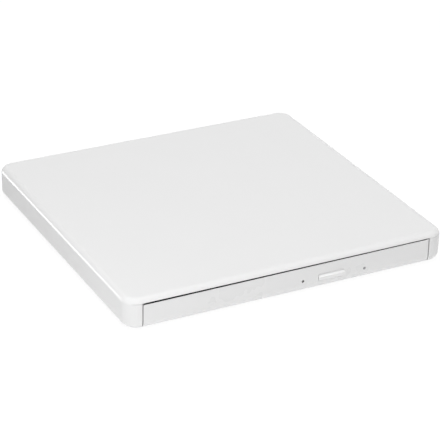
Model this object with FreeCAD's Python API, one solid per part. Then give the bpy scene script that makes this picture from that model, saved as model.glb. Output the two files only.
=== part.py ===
# External slim disc drive: a white case around a tray-loading drive, built piece by piece.
# Millimetres. X runs to the right, Y to the back and Z up. The origin is under the middle of
# the object, on the surface that its feet stand on. The tray is closed.
import FreeCAD, Part
import math
import os

# Case
CASE_WIDTH = 144.0
CASE_DEPTH = 137.5
CASE_TOP = 14.0
FOOT_PROUD = 0.6
WALL = 1.5
FLOOR = 1.4
CORNER_R = 6.5
TOP_EDGE_R = 2.7
BOTTOM_EDGE_R = 3.2
BUTTON_PROUD = 0.6
FRONT_Y = -CASE_DEPTH / 2 + BUTTON_PROUD
BACK_Y = CASE_DEPTH / 2
CASE_FLOOR_Z = FOOT_PROUD + FLOOR
CEILING_Z = CASE_TOP - WALL
BROW_Z = 12.05
SEAM_INSET = 2.0
SEAM_GAP = 0.08
SEAM_TOP = 3.2
RIB_WIDTH = 1.0
RIB_PROUD = 0.25
RIB_LENGTH = 116.0
RIB_X = (-40.0, 0.0, 40.0)
RIB_Y = (-36.0, 6.0, 48.0)
LABEL_SIZE = (68.0, 44.0)
LABEL_DEEP = 0.2
LABEL_CORNER_R = 2.0

# Tray front, its button, pin hole and light
BEZEL_X = (-65.15, 63.85)
BEZEL_TOP = (11.27, 11.63)
BEZEL_SIDE_GAP = 0.45
BEZEL_T = 1.6
BEZEL_CURL = 2.9
BEZEL_RIM = 1.15
BEZEL_FLOOR_Z = 2.3
BEZEL_ROOF_T = 0.9
BEZEL_EDGE_R = 0.2
FRONT_ROOM = BEZEL_CURL + 0.3
CHEEK_T = 1.5
CHEEK_DEPTH = 9.0
HOOK_X = (-50.0, -2.0, 50.0)
HOOK_WIDTH = 4.0
HOOK_Z = (8.0, 8.7)
HOOK_REACH = 2.4
BARB_LENGTH = 0.6
BARB_PROUD = 0.3
BUTTON_X = (12.1, 23.9)
BUTTON_Z = (4.0, 7.0)
BUTTON_RIDGE_Z = (5.95, 6.25)
BUTTON_CORNER_R = 0.8
BUTTON_RIDGE_R = 0.35
BUTTON_GAP_X = (0.12, 0.06)
BUTTON_GAP_Z = (0.06, 0.13)
BUTTON_FLANGE = 0.5
STEM_WIDTH = 2.4
PIN_HOLE = (5.0, 5.5)
PIN_HOLE_R = 0.65
LIGHT = (33.5, 5.1)
LIGHT_R = 0.65
LIGHT_PIN_BACK = 1.4
SEAL_T = 0.15
SEAL_INSET = (0.22, 0.4)

# Feet and screws of the case
FOOT_SPOTS = [(side * 54.0, y) for y in (-58.0, 58.0) for side in (-1, 1)]
FOOT_LENGTH = 14.0
FOOT_WIDTH = 6.0
FOOT_DEEP = 0.4
FOOT_GAP = 0.15
FOOT_EDGE_R = 0.3
CASE_SCREW_SPOTS = [(side * x, y) for x, y in ((66.8, -46.0), (66.0, 61.0)) for side in (-1, 1)]
CASE_SCREW_SEAT = 2.4
CASE_SCREW_ROOM_R = 2.0
CASE_SCREW_HOLE_R = 1.1
CASE_THREAD_R = 0.85
POST_R = 2.2
POST_TOP = 5.0
EAR_SPOTS = [(side * 66.8, y) for y in (-25.0, 35.0) for side in (-1, 1)]
EAR_Z = 4.6
EAR_REACH = 69.0
EAR_POST_R = 2.0
EAR_THREAD_R = 0.75
EAR_HOLE_R = 0.9
PAD_SPOTS = [(x, y) for x in (-50, 50) for y in (-40, 0, 40)]
PAD_WIDTH = 8.0
BOARD_POST_R = 1.6
BOARD_PIN_R = 0.9
BOARD_PIN_HEIGHT = 1.6

# Slim drive inside the case
DRIVE_Z = 2.3
DRIVE_HEIGHT = 9.5
DRIVE_HALF = 63.6
DRIVE_FRONT = -65.0
DRIVE_BACK = 58.4
SHEET = 0.5
LID_T = 0.4
LID_GAP = 0.05
LID_SIDE_Z = 8.6
LID_BACK_Z = 9.0
STAMP_DEEP = 0.15
PAN_FLOOR = DRIVE_Z + SHEET
PAN_INSIDE = DRIVE_HALF - SHEET
LID_Z = DRIVE_Z + DRIVE_HEIGHT - LID_T
TAB_SPOTS = [(side * 61.6, y) for y in (-46.0, 48.0) for side in (-1, 1)]
TAB_REACH = 60.2
LID_SCREW_HOLE_R = 0.65

# Tray
TRAY_FRONT = FRONT_Y + BEZEL_T
TRAY_BACK = 52.0
TRAY_HALF = 60.4
RIM_HALF = 62.6
RIM_Z = 9.8
RIM_UNDER = 8.2
RIM_EDGE_R = 0.4
DECK_Z = 7.2
TRAY_FLOOR_Z = 6.0
TRAY_WALL = 1.6
TRAY_LOW = 3.35
LOW_BACK = 36.0
DISC_POCKET_R = 60.4
DISC_Z = 8.3
FINGER_NOTCH_R = 8.0
FINGER_NOTCH_AT = 59.0
LANE_X = (31.0, 54.0)
LANE_FRONT = -24.0
TRACK_X = (32.4, 36.0)
TRACK_FRONT = -52.0
PLATE_T = 0.3
PLATE_HALF = 60.0
PLATE_SCREW_SPOTS = [(-57.6, 30.0), (18.0, 30.0), (57.6, -20.0), (-3.0, -61.5), (-57.6, 0.0)]
BOSS_R = 1.8

# Telescopic rails at the two sides of the tray
RAIL_Z = (3.6, 7.2)
RAIL_WEB = (62.0, 62.5)
RAIL_LIP = 60.7
RAIL_T = 0.4
RAIL_Y = (-64.0, 55.0)
RAIL_GAP = 0.1
GUIDE_Y = (-64.6, 0.0)
GUIDE_T = 0.6

# Button board behind the front
BUTTON_BOARD_Z = 3.45
BUTTON_BOARD_T = 0.6
BUTTON_BOARD_TOP = BUTTON_BOARD_Z + BUTTON_BOARD_T
BUTTON_BOARD_FRONT = TRAY_FRONT + TRAY_WALL + 0.1
STEM_Z = (4.5, 5.7)

# Latch
LOCK_POST = (34.2, -48.0)
LOCK_POST_R = 1.2
LOCK_POST_TOP = 5.4
LATCH_PIVOT = (36.0, -58.0)
LATCH_PIN_R = 0.95
LATCH_Z = (4.3, 5.1)
LATCH_REACH = 13.6
LATCH_ARM_BACK = 1.7
COIL_X = (44.0, 52.0)
CORE_X = (46.0, 50.0)

# Optical unit: u runs from the spindle towards the front left corner, v across it
SPINDLE_Y = -3.0
UNIT_TURN = 225.0
FRAME_Z = (4.9, 5.7)
AXIS_Z = 5.1
BASE_Z = (3.45, 3.85)
ROTOR_R = 11.8
ROTOR_INNER_R = 10.2
ROTOR_TOP = 7.3
ROTOR_LOW = 4.2
STATOR_R = 9.8
STATOR_TEETH = 9
SLEEVE_R = 3.1
SHAFT_R = 1.5
TURNTABLE_R = (8.4, 11.2)
HUB_R = 7.4
HUB_WALL_TOP = 9.4
HUB_TOP = 10.5
CLAW_ANGLES = (90.0, 210.0, 330.0)
CLAW_Z = (9.5, 10.14)
CLAW_HALF = 1.35
ROD_V = 15.0
ROD_R = 1.0
ROD_U = (3.0, 64.0)
PICKUP_HALF = 17.0
LENS_U = 22.4
LENS_R = 2.0
LENS_Z = 7.6
SCREW_V = 20.8
SCREW_R = 1.2
SCREW_PITCH = 3.0
SCREW_GROOVE = 0.32
SCREW_U = (9.5, 60.0)
SCREW_TAIL_R = 0.6
SCREW_HEAD_R = 0.7
DAMPER_SPOTS = [(-12.0, -23.0), (4.0, 29.5), (52.0, -23.0), (52.0, 28.5)]
GROMMET_R = 2.8
DECK_SLOT_HALF = 8.6

# Circuit boards and sockets
MAIN_BOARD_Z = 3.3
BOARD_T = 0.8
BRIDGE_Z = 3.2
BRIDGE_T = 1.0
BRIDGE_Y = (59.4, 66.6)
BRIDGE_PIN_SPOTS = [(-40.0, 63.2), (-1.0, 63.2)]
SATA_X = (-32.0, -4.0)
USB_X = (-52.0, -44.3)
USB_Z = BRIDGE_Z + BRIDGE_T
USB_HEIGHT = 3.9
USB_SHEET = 0.3
USB_Y = (59.5, BACK_Y - 0.35)

# Ribbon cable between the boards and the tray
RIBBON_X = (40.0, 52.0)
RIBBON_T = 0.1
RIBBON_GAP = 0.05
BEND_Y = -18.0

# Ejector
EJECTOR_X = 56.5
EJECTOR_Z = 5.0
EJECTOR_ROD_R = 0.8
EJECTOR_FRONT = 38.0
PUSHER_T = 2.0
PUSHER_HALF = 2.2
PUSHER_Z = (3.6, 7.8)

# Helpers: how deep a boss is sunk into its plate, how far a cut goes past a face, and limits from
# below the object to above it
SUNK = 0.2
PAST = 1.0
ALL_Z = (-5.0, 25.0)
ALL_PLAN = (-90.0, 90.0)


def vec(x, y, z):
    return FreeCAD.Vector(x, y, z)


def block(x, y, z):
    """A box between pairs of limits."""
    (x0, x1), (y0, y1), (z0, z1) = sorted(x), sorted(y), sorted(z)
    return Part.makeBox(x1 - x0, y1 - y0, z1 - z0, vec(x0, y0, z0))


def span(middle, width):
    """Limits to both sides of a middle."""
    return middle - width / 2, middle + width / 2


def wider(limits, by):
    """Limits moved apart at both ends."""
    return limits[0] - by, limits[1] + by


def post(radius, spot, z):
    """An upright cylinder at a spot in plan."""
    return Part.makeCylinder(radius, z[1] - z[0], vec(spot[0], spot[1], z[0]))


def ring(outer, inner, spot, z):
    """An upright tube."""
    return post(outer, spot, z).cut(post(inner, spot, wider(z, PAST)))


def rod_along(start, end, radius):
    """A cylinder between two points."""
    line = vec(*end) - vec(*start)
    return Part.makeCylinder(radius, line.Length, vec(*start), line)


def front_hole(spot, radius, y):
    """A cylinder along Y at a spot of the front, given in X and Z."""
    x, z = spot
    return rod_along((x, y[0], z), (x, y[1], z), radius)


def slab(points, z):
    """A polygon in plan with a thickness."""
    corners = [vec(x, y, z[0]) for x, y in points]
    face = Part.Face(Part.makePolygon(corners + corners[:1]))
    return face.extrude(vec(0, 0, z[1] - z[0]))


def front_slab(points, y):
    """A polygon in X and Z carried along Y."""
    corners = [vec(px, y[0], pz) for px, pz in points]
    face = Part.Face(Part.makePolygon(corners + corners[:1]))
    return face.extrude(vec(0, y[1] - y[0], 0))


def side_slab(points, x):
    """A polygon in Y and Z carried along X."""
    corners = [vec(x[0], py, pz) for py, pz in points]
    face = Part.Face(Part.makePolygon(corners + corners[:1]))
    return face.extrude(vec(x[1] - x[0], 0, 0))


def rounded(x, y, z, radius):
    """A box with rounded upright edges."""
    solid = block(x, y, z)
    upright = [e for e in solid.Edges if abs(e.tangentAt(e.FirstParameter).z) > 0.99]
    return solid.makeFillet(radius, upright)


def round_level(solid, radius, z):
    """Rounds the loop of edges that lies at one height."""
    loop = [e for e in solid.Edges
            if abs(e.BoundBox.ZMin - z) < 1e-4 and abs(e.BoundBox.ZMax - z) < 1e-4]
    return solid.makeFillet(radius, loop)


def stadium(x, y, z):
    """A slot shape in plan with its length along X."""
    almost_round = 0.999
    return rounded(x, y, z, (y[1] - y[0]) / 2 * almost_round)


def stood_up(flat, back_y):
    """Turns a shape drawn flat in X and Z so that it faces the front and ends at back_y."""
    flat.rotate(vec(0, 0, 0), vec(1, 0, 0), 90)
    flat.translate(vec(0, back_y, 0))
    return flat


def front_rounded(x, z, y, radius):
    """A block seen from the front, with rounded corners and its depth along Y."""
    return stood_up(rounded(x, z, (0.0, y[1] - y[0]), radius), y[1])


def joined(first, *others):
    """Several solids as one."""
    return first.multiFuse(list(others)).removeSplitter()


def without(solid, *tools):
    """A solid with several others cut away."""
    for tool in tools:
        solid = solid.cut(tool)
    return solid


def both_sides(shape):
    """A shape and its mirror image across the middle plane."""
    return shape, shape.mirror(vec(0, 0, 0), vec(1, 0, 0))


def on_unit(shape):
    """Places a shape made in the optical unit's own u and v onto the tray."""
    shape.rotate(vec(0, 0, 0), vec(0, 0, 1), UNIT_TURN)
    shape.translate(vec(0, SPINDLE_Y, 0))
    return shape


def unit_rod(radius, v, u):
    """A cylinder along u at the height of the rods and the screw."""
    return rod_along((u[0], v, AXIS_Z), (u[1], v, AXIS_Z), radius)


def turned(shape, degrees):
    """A copy turned about the spindle's axis in the unit's own frame."""
    copy = shape.copy()
    copy.rotate(vec(0, 0, 0), vec(0, 0, 1), degrees)
    return copy


def cross_screw(spot, seat_z, head, shank, length, up):
    """A cross-head screw whose head sits on seat_z. up says which way its head points."""
    head_r, head_h = head
    way = 1 if up else -1
    far = seat_z + way * head_h
    body = joined(post(head_r, spot, sorted((seat_z, far))),
                  post(shank, spot, sorted((seat_z - way * length, seat_z))))
    recess = sorted((far - way * head_h * 0.55, far + way))
    arm = head_r * 1.2
    blade = head_r * 0.26
    x, y = spot
    long_way = block(span(x, arm), span(y, blade), recess)
    cross_way = block(span(x, blade), span(y, arm), recess)
    return without(body, long_way, cross_way)


# Case

def case_outside():
    """The whole case as one solid, with its top and bottom edges rounded."""
    solid = rounded(span(0, CASE_WIDTH), (FRONT_Y, BACK_Y), (FOOT_PROUD, CASE_TOP), CORNER_R)
    solid = round_level(solid, TOP_EDGE_R, CASE_TOP)
    return round_level(solid, BOTTOM_EDGE_R, FOOT_PROUD)


def case_inside():
    """The hollow inside the case walls."""
    solid = rounded(span(0, CASE_WIDTH - 2 * WALL), (FRONT_Y + WALL, BACK_Y - WALL),
                    (CASE_FLOOR_Z, CEILING_Z), CORNER_R - WALL)
    solid = round_level(solid, TOP_EDGE_R - WALL, CEILING_Z)
    return round_level(solid, BOTTOM_EDGE_R - WALL, CASE_FLOOR_Z)


def floor_room(margin):
    """The room between the side walls that the floor plate fills, widened by a margin."""
    inset = SEAM_INSET - margin
    return rounded(span(0, CASE_WIDTH - 2 * inset), (FRONT_Y + inset, BACK_Y - inset),
                   (ALL_Z[0], SEAM_TOP + margin), CORNER_R - inset)


def front_room(depth):
    """The room that the tray front closes, below the brow of the roof."""
    sides = wider(BEZEL_X, BEZEL_SIDE_GAP)
    return block(sides, (FRONT_Y - PAST, FRONT_Y + depth), (ALL_Z[0], BROW_Z))


def foot_shape(spot, margin):
    """A foot, or with a margin the seat that it sits in."""
    x, y = spot
    return stadium(span(x, FOOT_LENGTH + 2 * margin), span(y, FOOT_WIDTH + 2 * margin),
                   (0, FOOT_PROUD + FOOT_DEEP))


def top_cover():
    """The upper case: roof, side walls, cheeks beside the tray front, screw bosses and ribs."""
    outside = case_outside()
    shell = without(outside, case_inside(), front_room(FRONT_ROOM))
    root = CEILING_Z + SUNK
    left, right = wider(BEZEL_X, BEZEL_SIDE_GAP)
    cheeks = [block(x, (FRONT_Y - PAST, FRONT_Y + CHEEK_DEPTH), (0, root)).common(outside)
              for x in ((left - CHEEK_T, left), (right, right + CHEEK_T))]
    bosses = [ring(POST_R - SUNK, CASE_THREAD_R, spot, (POST_TOP, root)) for spot in CASE_SCREW_SPOTS]
    rib_z = (CEILING_Z - RIB_PROUD, root)
    ribs = [block(span(x, RIB_WIDTH), span(0, RIB_LENGTH), rib_z) for x in RIB_X]
    ribs += [block(span(0, RIB_LENGTH), span(y, RIB_WIDTH), rib_z) for y in RIB_Y]
    solid = joined(shell, *cheeks, *bosses, *ribs)
    return without(solid, floor_room(SEAM_GAP), usb_window())


def bottom_cover():
    """The floor of the case: a dished plate with posts, pads, foot seats and screw seats."""
    shell = case_outside().cut(case_inside()).common(floor_room(0))
    root = CASE_FLOOR_Z - SUNK
    ear_posts = [post(EAR_POST_R, s, (root, EAR_Z)) for s in EAR_SPOTS]
    screw_posts = [post(POST_R, s, (FOOT_PROUD + 2 * SUNK, POST_TOP)) for s in CASE_SCREW_SPOTS]
    pads = [block(span(x, PAD_WIDTH), span(y, PAD_WIDTH), (root, DRIVE_Z)) for x, y in PAD_SPOTS]
    board_posts = [post(BOARD_POST_R, s, (root, BRIDGE_Z)) for s in BRIDGE_PIN_SPOTS]
    board_pins = [post(BOARD_PIN_R, s, (root, BRIDGE_Z + BOARD_PIN_HEIGHT)) for s in BRIDGE_PIN_SPOTS]
    solid = joined(shell, *ear_posts, *screw_posts, *pads, *board_posts, *board_pins)
    shanks = [post(CASE_SCREW_HOLE_R, s, (0, POST_TOP + PAST)) for s in CASE_SCREW_SPOTS]
    heads = [post(CASE_SCREW_ROOM_R, s, (0, CASE_SCREW_SEAT)) for s in CASE_SCREW_SPOTS]
    threads = [post(EAR_THREAD_R, s, (CASE_SCREW_SEAT, EAR_Z + PAST)) for s in EAR_SPOTS]
    seats = [foot_shape(s, FOOT_GAP) for s in FOOT_SPOTS]
    label = rounded(span(0, LABEL_SIZE[0]), span(0, LABEL_SIZE[1]), (0, FOOT_PROUD + LABEL_DEEP),
                    LABEL_CORNER_R)
    return without(solid, front_room(FRONT_ROOM), *shanks, *heads, *threads, *seats, label)


def usb_window():
    """The window through the back wall for the socket."""
    gap = 0.3
    flat = rounded(wider(USB_X, gap), wider((USB_Z, USB_Z + USB_HEIGHT), gap), (0, 6), 0.6)
    return stood_up(flat, BACK_Y + PAST)


def rubber_feet():
    """Four oblong rubber feet, glued into shallow seats."""
    return Part.makeCompound([round_level(foot_shape(s, 0), FOOT_EDGE_R, 0) for s in FOOT_SPOTS])


def case_screws():
    """Four screws that hold the two halves of the case together, driven from below."""
    head, shank, length = (1.8, 1.0), 0.8, 7.4
    return Part.makeCompound([cross_screw(s, CASE_SCREW_SEAT, head, shank, length, False)
                              for s in CASE_SCREW_SPOTS])


# Slim drive

def drive_screws():
    """Four screws that hold the drive's ears down on the case."""
    head, shank, length = (1.6, 0.8), 0.7, 2.4
    return Part.makeCompound([cross_screw(s, EAR_Z + SHEET, head, shank, length, True)
                              for s in EAR_SPOTS])


def lid_screws():
    """Four small screws that hold the drive's metal lid on the tabs of its pan."""
    head, shank, length = (1.1, 0.3), 0.6, 1.4
    return Part.makeCompound([cross_screw(s, LID_Z + LID_T, head, shank, length, True)
                              for s in TAB_SPOTS])


def side_tab(spot, x, z, hole_r):
    """A flat tab on the pan's side wall, between two distances from the middle, with a hole."""
    way = 1 if spot[0] > 0 else -1
    length = 6.0
    tab = block((way * x[0], way * x[1]), span(spot[1], length), z)
    return tab.cut(post(hole_r, spot, wider(z, PAST)))


def drive_chassis():
    """The drive's steel pan with its ears, lid tabs, lock post and the ejector's bracket."""
    solid = block(span(0, 2 * DRIVE_HALF), (DRIVE_FRONT, DRIVE_BACK), (DRIVE_Z, LID_Z))
    hollow = block(span(0, 2 * PAN_INSIDE), (DRIVE_FRONT - PAST, DRIVE_BACK - SHEET),
                   (PAN_FLOOR, LID_Z + PAST))
    ears = [side_tab(s, (PAN_INSIDE + 0.1, EAR_REACH), (EAR_Z, EAR_Z + SHEET), EAR_HOLE_R)
            for s in EAR_SPOTS]
    tabs = [side_tab(s, (TAB_REACH, DRIVE_HALF - 0.1), (LID_Z - SHEET, LID_Z), LID_SCREW_HOLE_R)
            for s in TAB_SPOTS]
    lock = post(LOCK_POST_R, LOCK_POST, (PAN_FLOOR - SUNK, LOCK_POST_TOP))
    bracket = block(span(EJECTOR_X, 2.6), (EJECTOR_FRONT, EJECTOR_FRONT + 0.8),
                    (PAN_FLOOR - SUNK, TRAY_FLOOR_Z - 0.1))
    bore = ejector_line(EJECTOR_ROD_R + 0.02, wider((EJECTOR_FRONT, EJECTOR_FRONT), PAST))
    window = block(wider(SATA_X, 1.0), wider((DRIVE_BACK - SHEET, DRIVE_BACK), PAST), (3.9, 8.1))
    return joined(solid.cut(hollow), *ears, *tabs, lock, bracket.cut(bore)).cut(window)


def drive_lid():
    """The drive's thin steel lid with side flanges and a stamped panel."""
    inside = DRIVE_HALF + LID_GAP
    flange = inside + LID_T
    back = DRIVE_BACK + LID_GAP
    top_z = LID_Z + LID_T
    top = block((-flange, flange), (DRIVE_FRONT, back + LID_T), (LID_Z, top_z))
    side = block((inside, flange), (DRIVE_FRONT, DRIVE_BACK), (LID_SIDE_Z, top_z))
    rear = block((-flange, flange), (back, back + LID_T), (LID_BACK_Z, top_z))
    outer = rounded(span(0, 104), (-52, 46), (top_z - STAMP_DEEP, top_z + PAST), 8.0)
    inner = rounded(span(0, 98), (-49, 43), (LID_Z, top_z + 2 * PAST), 6.0)
    holes = [post(LID_SCREW_HOLE_R, s, wider((LID_Z, top_z), PAST)) for s in TAB_SPOTS]
    return without(joined(top, *both_sides(side), rear), outer.cut(inner), *holes)


def channel(x, z, y, web, lip):
    """A channel along Y, open towards the middle: web and lip are wall thicknesses."""
    solid = block(x, y, z)
    return solid.cut(block((x[0] - PAST, x[1] - web), wider(y, PAST), (z[0] + lip[0], z[1] - lip[1])))


def rail_guides():
    """The two plastic channels that hold the rails, mirror images of each other."""
    z = (PAN_FLOOR, RAIL_Z[1] + RAIL_GAP + GUIDE_T)
    lips = (RAIL_Z[0] - RAIL_GAP - PAN_FLOOR, GUIDE_T)
    web = PAN_INSIDE - RAIL_WEB[1] - RAIL_GAP
    return Part.makeCompound(both_sides(channel((RAIL_LIP - RAIL_GAP, PAN_INSIDE), z, GUIDE_Y, web, lips)))


def rail():
    """The right sliding rail, a steel channel open towards the tray."""
    return channel((RAIL_LIP, RAIL_WEB[1]), RAIL_Z, RAIL_Y, RAIL_WEB[1] - RAIL_WEB[0], (RAIL_T, RAIL_T))


# Tray

def bezel():
    """The tray's front: a shallow box that carries on the case's own outline. Its top edge rises
    a little from left to right."""
    left, right = BEZEL_X
    back = FRONT_Y + BEZEL_CURL
    outline = [(left, 0), (right, 0), (right, BEZEL_TOP[1]), (left, BEZEL_TOP[0])]
    plate = front_slab(outline, (FRONT_Y - PAST, back)).common(case_outside())
    front_edge = [e for e in plate.Edges if e.BoundBox.ZMin > min(BEZEL_TOP) - 0.01
                  and e.BoundBox.YMax < FRONT_Y + 1.0 and e.BoundBox.XLength > BEZEL_RIM]
    plate = plate.makeFillet(BEZEL_EDGE_R, front_edge)
    hollow = block(wider(BEZEL_X, -BEZEL_RIM), (TRAY_FRONT, back + PAST),
                   (BEZEL_FLOOR_Z, min(BEZEL_TOP) - BEZEL_ROOF_T))
    reach = (TRAY_FRONT - SUNK, TRAY_FRONT + HOOK_REACH)
    hooks = [block(span(x, HOOK_WIDTH), reach, HOOK_Z) for x in HOOK_X]
    barb_z = (HOOK_Z[1] - 0.1, HOOK_Z[1] + BARB_PROUD)
    barbs = [block(span(x, HOOK_WIDTH), (reach[1] - BARB_LENGTH, reach[1]), barb_z) for x in HOOK_X]
    through = (FRONT_Y - PAST, TRAY_FRONT + PAST)
    button_x = (BUTTON_X[0] - BUTTON_GAP_X[0], BUTTON_X[1] + BUTTON_GAP_X[1])
    button_z = (BUTTON_Z[0] - BUTTON_GAP_Z[0], BUTTON_Z[1] + BUTTON_GAP_Z[1])
    button = front_rounded(button_x, button_z, through, BUTTON_CORNER_R)
    pin = front_hole(PIN_HOLE, PIN_HOLE_R, through)
    light = front_hole(LIGHT, LIGHT_R, through)
    return without(joined(plate.cut(hollow), *hooks, *barbs), button, pin, light)


def front_seal():
    """The dark strip of foam on top of the tray's front, in the gap under the brow."""
    behind, aside = SEAL_INSET
    rise = (BEZEL_TOP[1] - BEZEL_TOP[0]) / (BEZEL_X[1] - BEZEL_X[0]) * aside
    left, right = wider(BEZEL_X, -aside)
    low = (BEZEL_TOP[0] + rise, BEZEL_TOP[1] - rise)
    outline = [(left, low[0]), (right, low[1]), (right, low[1] + SEAL_T), (left, low[0] + SEAL_T)]
    return front_slab(outline, (FRONT_Y + behind, FRONT_Y + BEZEL_CURL - 0.2))


def eject_button():
    """The open button: a slim key that rises from flush at its foot to a ridge, a flange and a stem."""
    nose = FRONT_Y - BUTTON_PROUD
    root = TRAY_FRONT + 0.05
    low, high = BUTTON_Z
    foot, top = BUTTON_RIDGE_Z
    section = side_slab([(root, low), (FRONT_Y, low), (nose, foot), (nose, top),
                         (FRONT_Y, high - 0.1), (FRONT_Y + 0.1, high), (root, high)], BUTTON_X)
    ridge = [e for e in section.Edges if e.BoundBox.YMax < nose + 1e-4 and e.BoundBox.XLength > PAST]
    section = section.makeFillet(BUTTON_RIDGE_R, ridge)
    cap = front_rounded(BUTTON_X, BUTTON_Z, (nose - PAST, root), BUTTON_CORNER_R).common(section)
    flange = block(wider(BUTTON_X, BUTTON_FLANGE), (TRAY_FRONT + 0.025, TRAY_FRONT + BUTTON_FLANGE),
                   wider(BUTTON_Z, BUTTON_FLANGE))
    stem = block(span(sum(BUTTON_X) / 2, STEM_WIDTH), (TRAY_FRONT + 0.4, TRAY_FRONT + 1.5), STEM_Z)
    return joined(cap, flange, stem)


def activity_light():
    """The smoked clear pin that brings the light to the front."""
    return front_hole(LIGHT, LIGHT_R - 0.05, (FRONT_Y + 0.1, TRAY_FRONT + LIGHT_PIN_BACK))


def unit_room(margin, z):
    """The outline of the opening in the tray that the optical unit works in, in u and v."""
    u0, u1 = wider((-13.5, 66.5), margin)
    v0, v1 = wider((-18.5, 25.8), margin)
    near, far = 82.5 + margin, 86.9 + margin
    points = [(u0, v0), (near + v0, v0), (u1, u1 - near), (u1, far - u1), (far - v1, v1), (u0, v1)]
    return on_unit(slab(points, z))


def low_walls():
    """The walls under the tray's floor: round its edge and round the ribbon cable's lane."""
    z = (TRAY_LOW, TRAY_FLOOR_Z + 0.5)
    outer = block(span(0, 2 * TRAY_HALF), (TRAY_FRONT, LOW_BACK), z)
    inner = block(span(0, 2 * (TRAY_HALF - TRAY_WALL)),
                  (TRAY_FRONT + TRAY_WALL, LOW_BACK - TRAY_WALL), ALL_Z)
    lane = block(wider(LANE_X, TRAY_WALL), (LANE_FRONT - TRAY_WALL, LOW_BACK), z)
    bosses = [post(BOSS_R, s, z) for s in PLATE_SCREW_SPOTS]
    return joined(outer.cut(inner), lane, *bosses)


def front_wall_windows():
    """Windows in the tray's front wall for the hooks, button, pin hole and light."""
    y = (TRAY_FRONT - PAST, TRAY_FRONT + TRAY_WALL + 1.2)
    margin = BUTTON_FLANGE + 0.3
    windows = [block(span(x, HOOK_WIDTH + 0.6), y, (HOOK_Z[0] - 0.3, HOOK_Z[1] + 0.45)) for x in HOOK_X]
    windows.append(block(wider(BUTTON_X, margin), y, wider(BUTTON_Z, margin)))
    windows += [block(span(x, 2.0), y, span(z, 2.0)) for x, z in (PIN_HOLE, LIGHT)]
    return Part.makeCompound(windows)


def tray():
    """The moving tray: disc pocket, rim, runners, the walls under its floor and bosses."""
    spindle = (0, SPINDLE_Y)
    length = (TRAY_FRONT, TRAY_BACK)
    rim = rounded(span(0, 2 * RIM_HALF), length, (RIM_UNDER, RIM_Z), 2.0)
    middle = block(span(0, 2 * TRAY_HALF), length, (TRAY_FLOOR_Z, RIM_Z - 0.5))
    runner = block((TRAY_HALF - 0.5, RAIL_WEB[0] - RAIL_GAP), (-64.0, TRAY_BACK),
                   (RAIL_Z[0] + RAIL_T + RAIL_GAP, RAIL_Z[1] - RAIL_T - RAIL_GAP))
    latch_seat = post(BOSS_R, LATCH_PIVOT, (5.5, TRAY_FLOOR_Z + 0.5))
    solid = joined(rim, middle, low_walls(), *both_sides(runner), latch_seat)
    solid = round_level(solid, RIM_EDGE_R, RIM_Z)
    lane = block(LANE_X, (LANE_FRONT, TRAY_BACK), (0, TRAY_FLOOR_Z))
    track = block(TRACK_X, (TRACK_FRONT, LANE_FRONT + PAST), (0, TRAY_FLOOR_Z - 0.3))
    pocket_z = (DECK_Z, ALL_Z[1])
    pocket = post(DISC_POCKET_R, spindle, pocket_z)
    notches = []
    for turn in (math.radians(-45.0), math.radians(135.0)):
        spot = (FINGER_NOTCH_AT * math.cos(turn), SPINDLE_Y + FINGER_NOTCH_AT * math.sin(turn))
        notches.append(post(FINGER_NOTCH_R, spot, pocket_z))
    room = unit_room(0, (0, DECK_Z + 0.7))
    ledge = unit_room(1.0, (DECK_Z - PLATE_T, DECK_Z + PAST))
    ledge = ledge.common(post(DISC_POCKET_R - 0.1, spindle, ALL_Z))
    plate_holes = [post(0.6, s, (0, TRAY_FLOOR_Z)) for s in PLATE_SCREW_SPOTS]
    damper_holes = [on_unit(post(0.8, s, (TRAY_FLOOR_Z - PAST, TRAY_FLOOR_Z + 0.9))) for s in DAMPER_SPOTS]
    latch_hole = post(LATCH_PIN_R + 0.05, LATCH_PIVOT, (TRAY_LOW, TRAY_FLOOR_Z + 0.6))
    return without(solid, lane, track, pocket, *notches, room, ledge, *plate_holes, *damper_holes,
                   latch_hole, front_wall_windows())


def tray_bottom_plate():
    """The thin steel sheet that closes the tray from below."""
    z = (TRAY_LOW - PLATE_T, TRAY_LOW)
    plate = rounded(span(0, 2 * PLATE_HALF), (TRAY_FRONT + 1.0, LOW_BACK - 0.2), z, 1.0)
    lane = block(wider(LANE_X, -0.2), (LANE_FRONT, TRAY_BACK), ALL_Z)
    track = block(TRACK_X, (TRACK_FRONT, LANE_FRONT + PAST), ALL_Z)
    seats = [Part.makeCone(1.5, 0.75, PLATE_T, vec(x, y, z[0])) for x, y in PLATE_SCREW_SPOTS]
    return without(plate, lane, track, *seats)


def tray_screws():
    """Countersunk screws that hold the bottom plate to the tray."""
    low = TRAY_LOW - PLATE_T
    screws = []
    for x, y in PLATE_SCREW_SPOTS:
        head = Part.makeCone(1.45, 0.7, PLATE_T, vec(x, y, low))
        shank = post(0.55, (x, y), (TRAY_LOW - 0.1, TRAY_FLOOR_Z - 0.4))
        slot = block(span(x, 1.6), span(y, 0.3), (0, low + PLATE_T * 0.6))
        screws.append(joined(head, shank).cut(slot))
    return Part.makeCompound(screws)


def deck_cover():
    """The thin metal deck round the spindle, with the slot that the lens looks through."""
    plate = unit_room(0.9, (DECK_Z - PLATE_T, DECK_Z))
    plate = plate.common(post(DISC_POCKET_R - 0.2, (0, SPINDLE_Y), ALL_Z))
    rotor = post(ROTOR_R + 1.0, (0, SPINDLE_Y), ALL_Z)
    slot = on_unit(block((0, 55.5), span(0, 2 * DECK_SLOT_HALF), ALL_Z))
    beyond = block((63.0, 80), ALL_PLAN, ALL_Z)
    end = on_unit(post(DECK_SLOT_HALF, (55.0, 0), ALL_Z).cut(beyond))
    return without(plate, rotor, slot, end)


# Ribbon cable

def ribbon(y, z):
    """A straight stretch of the ribbon cable."""
    return block(RIBBON_X, y, (z, z + RIBBON_T))


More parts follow.
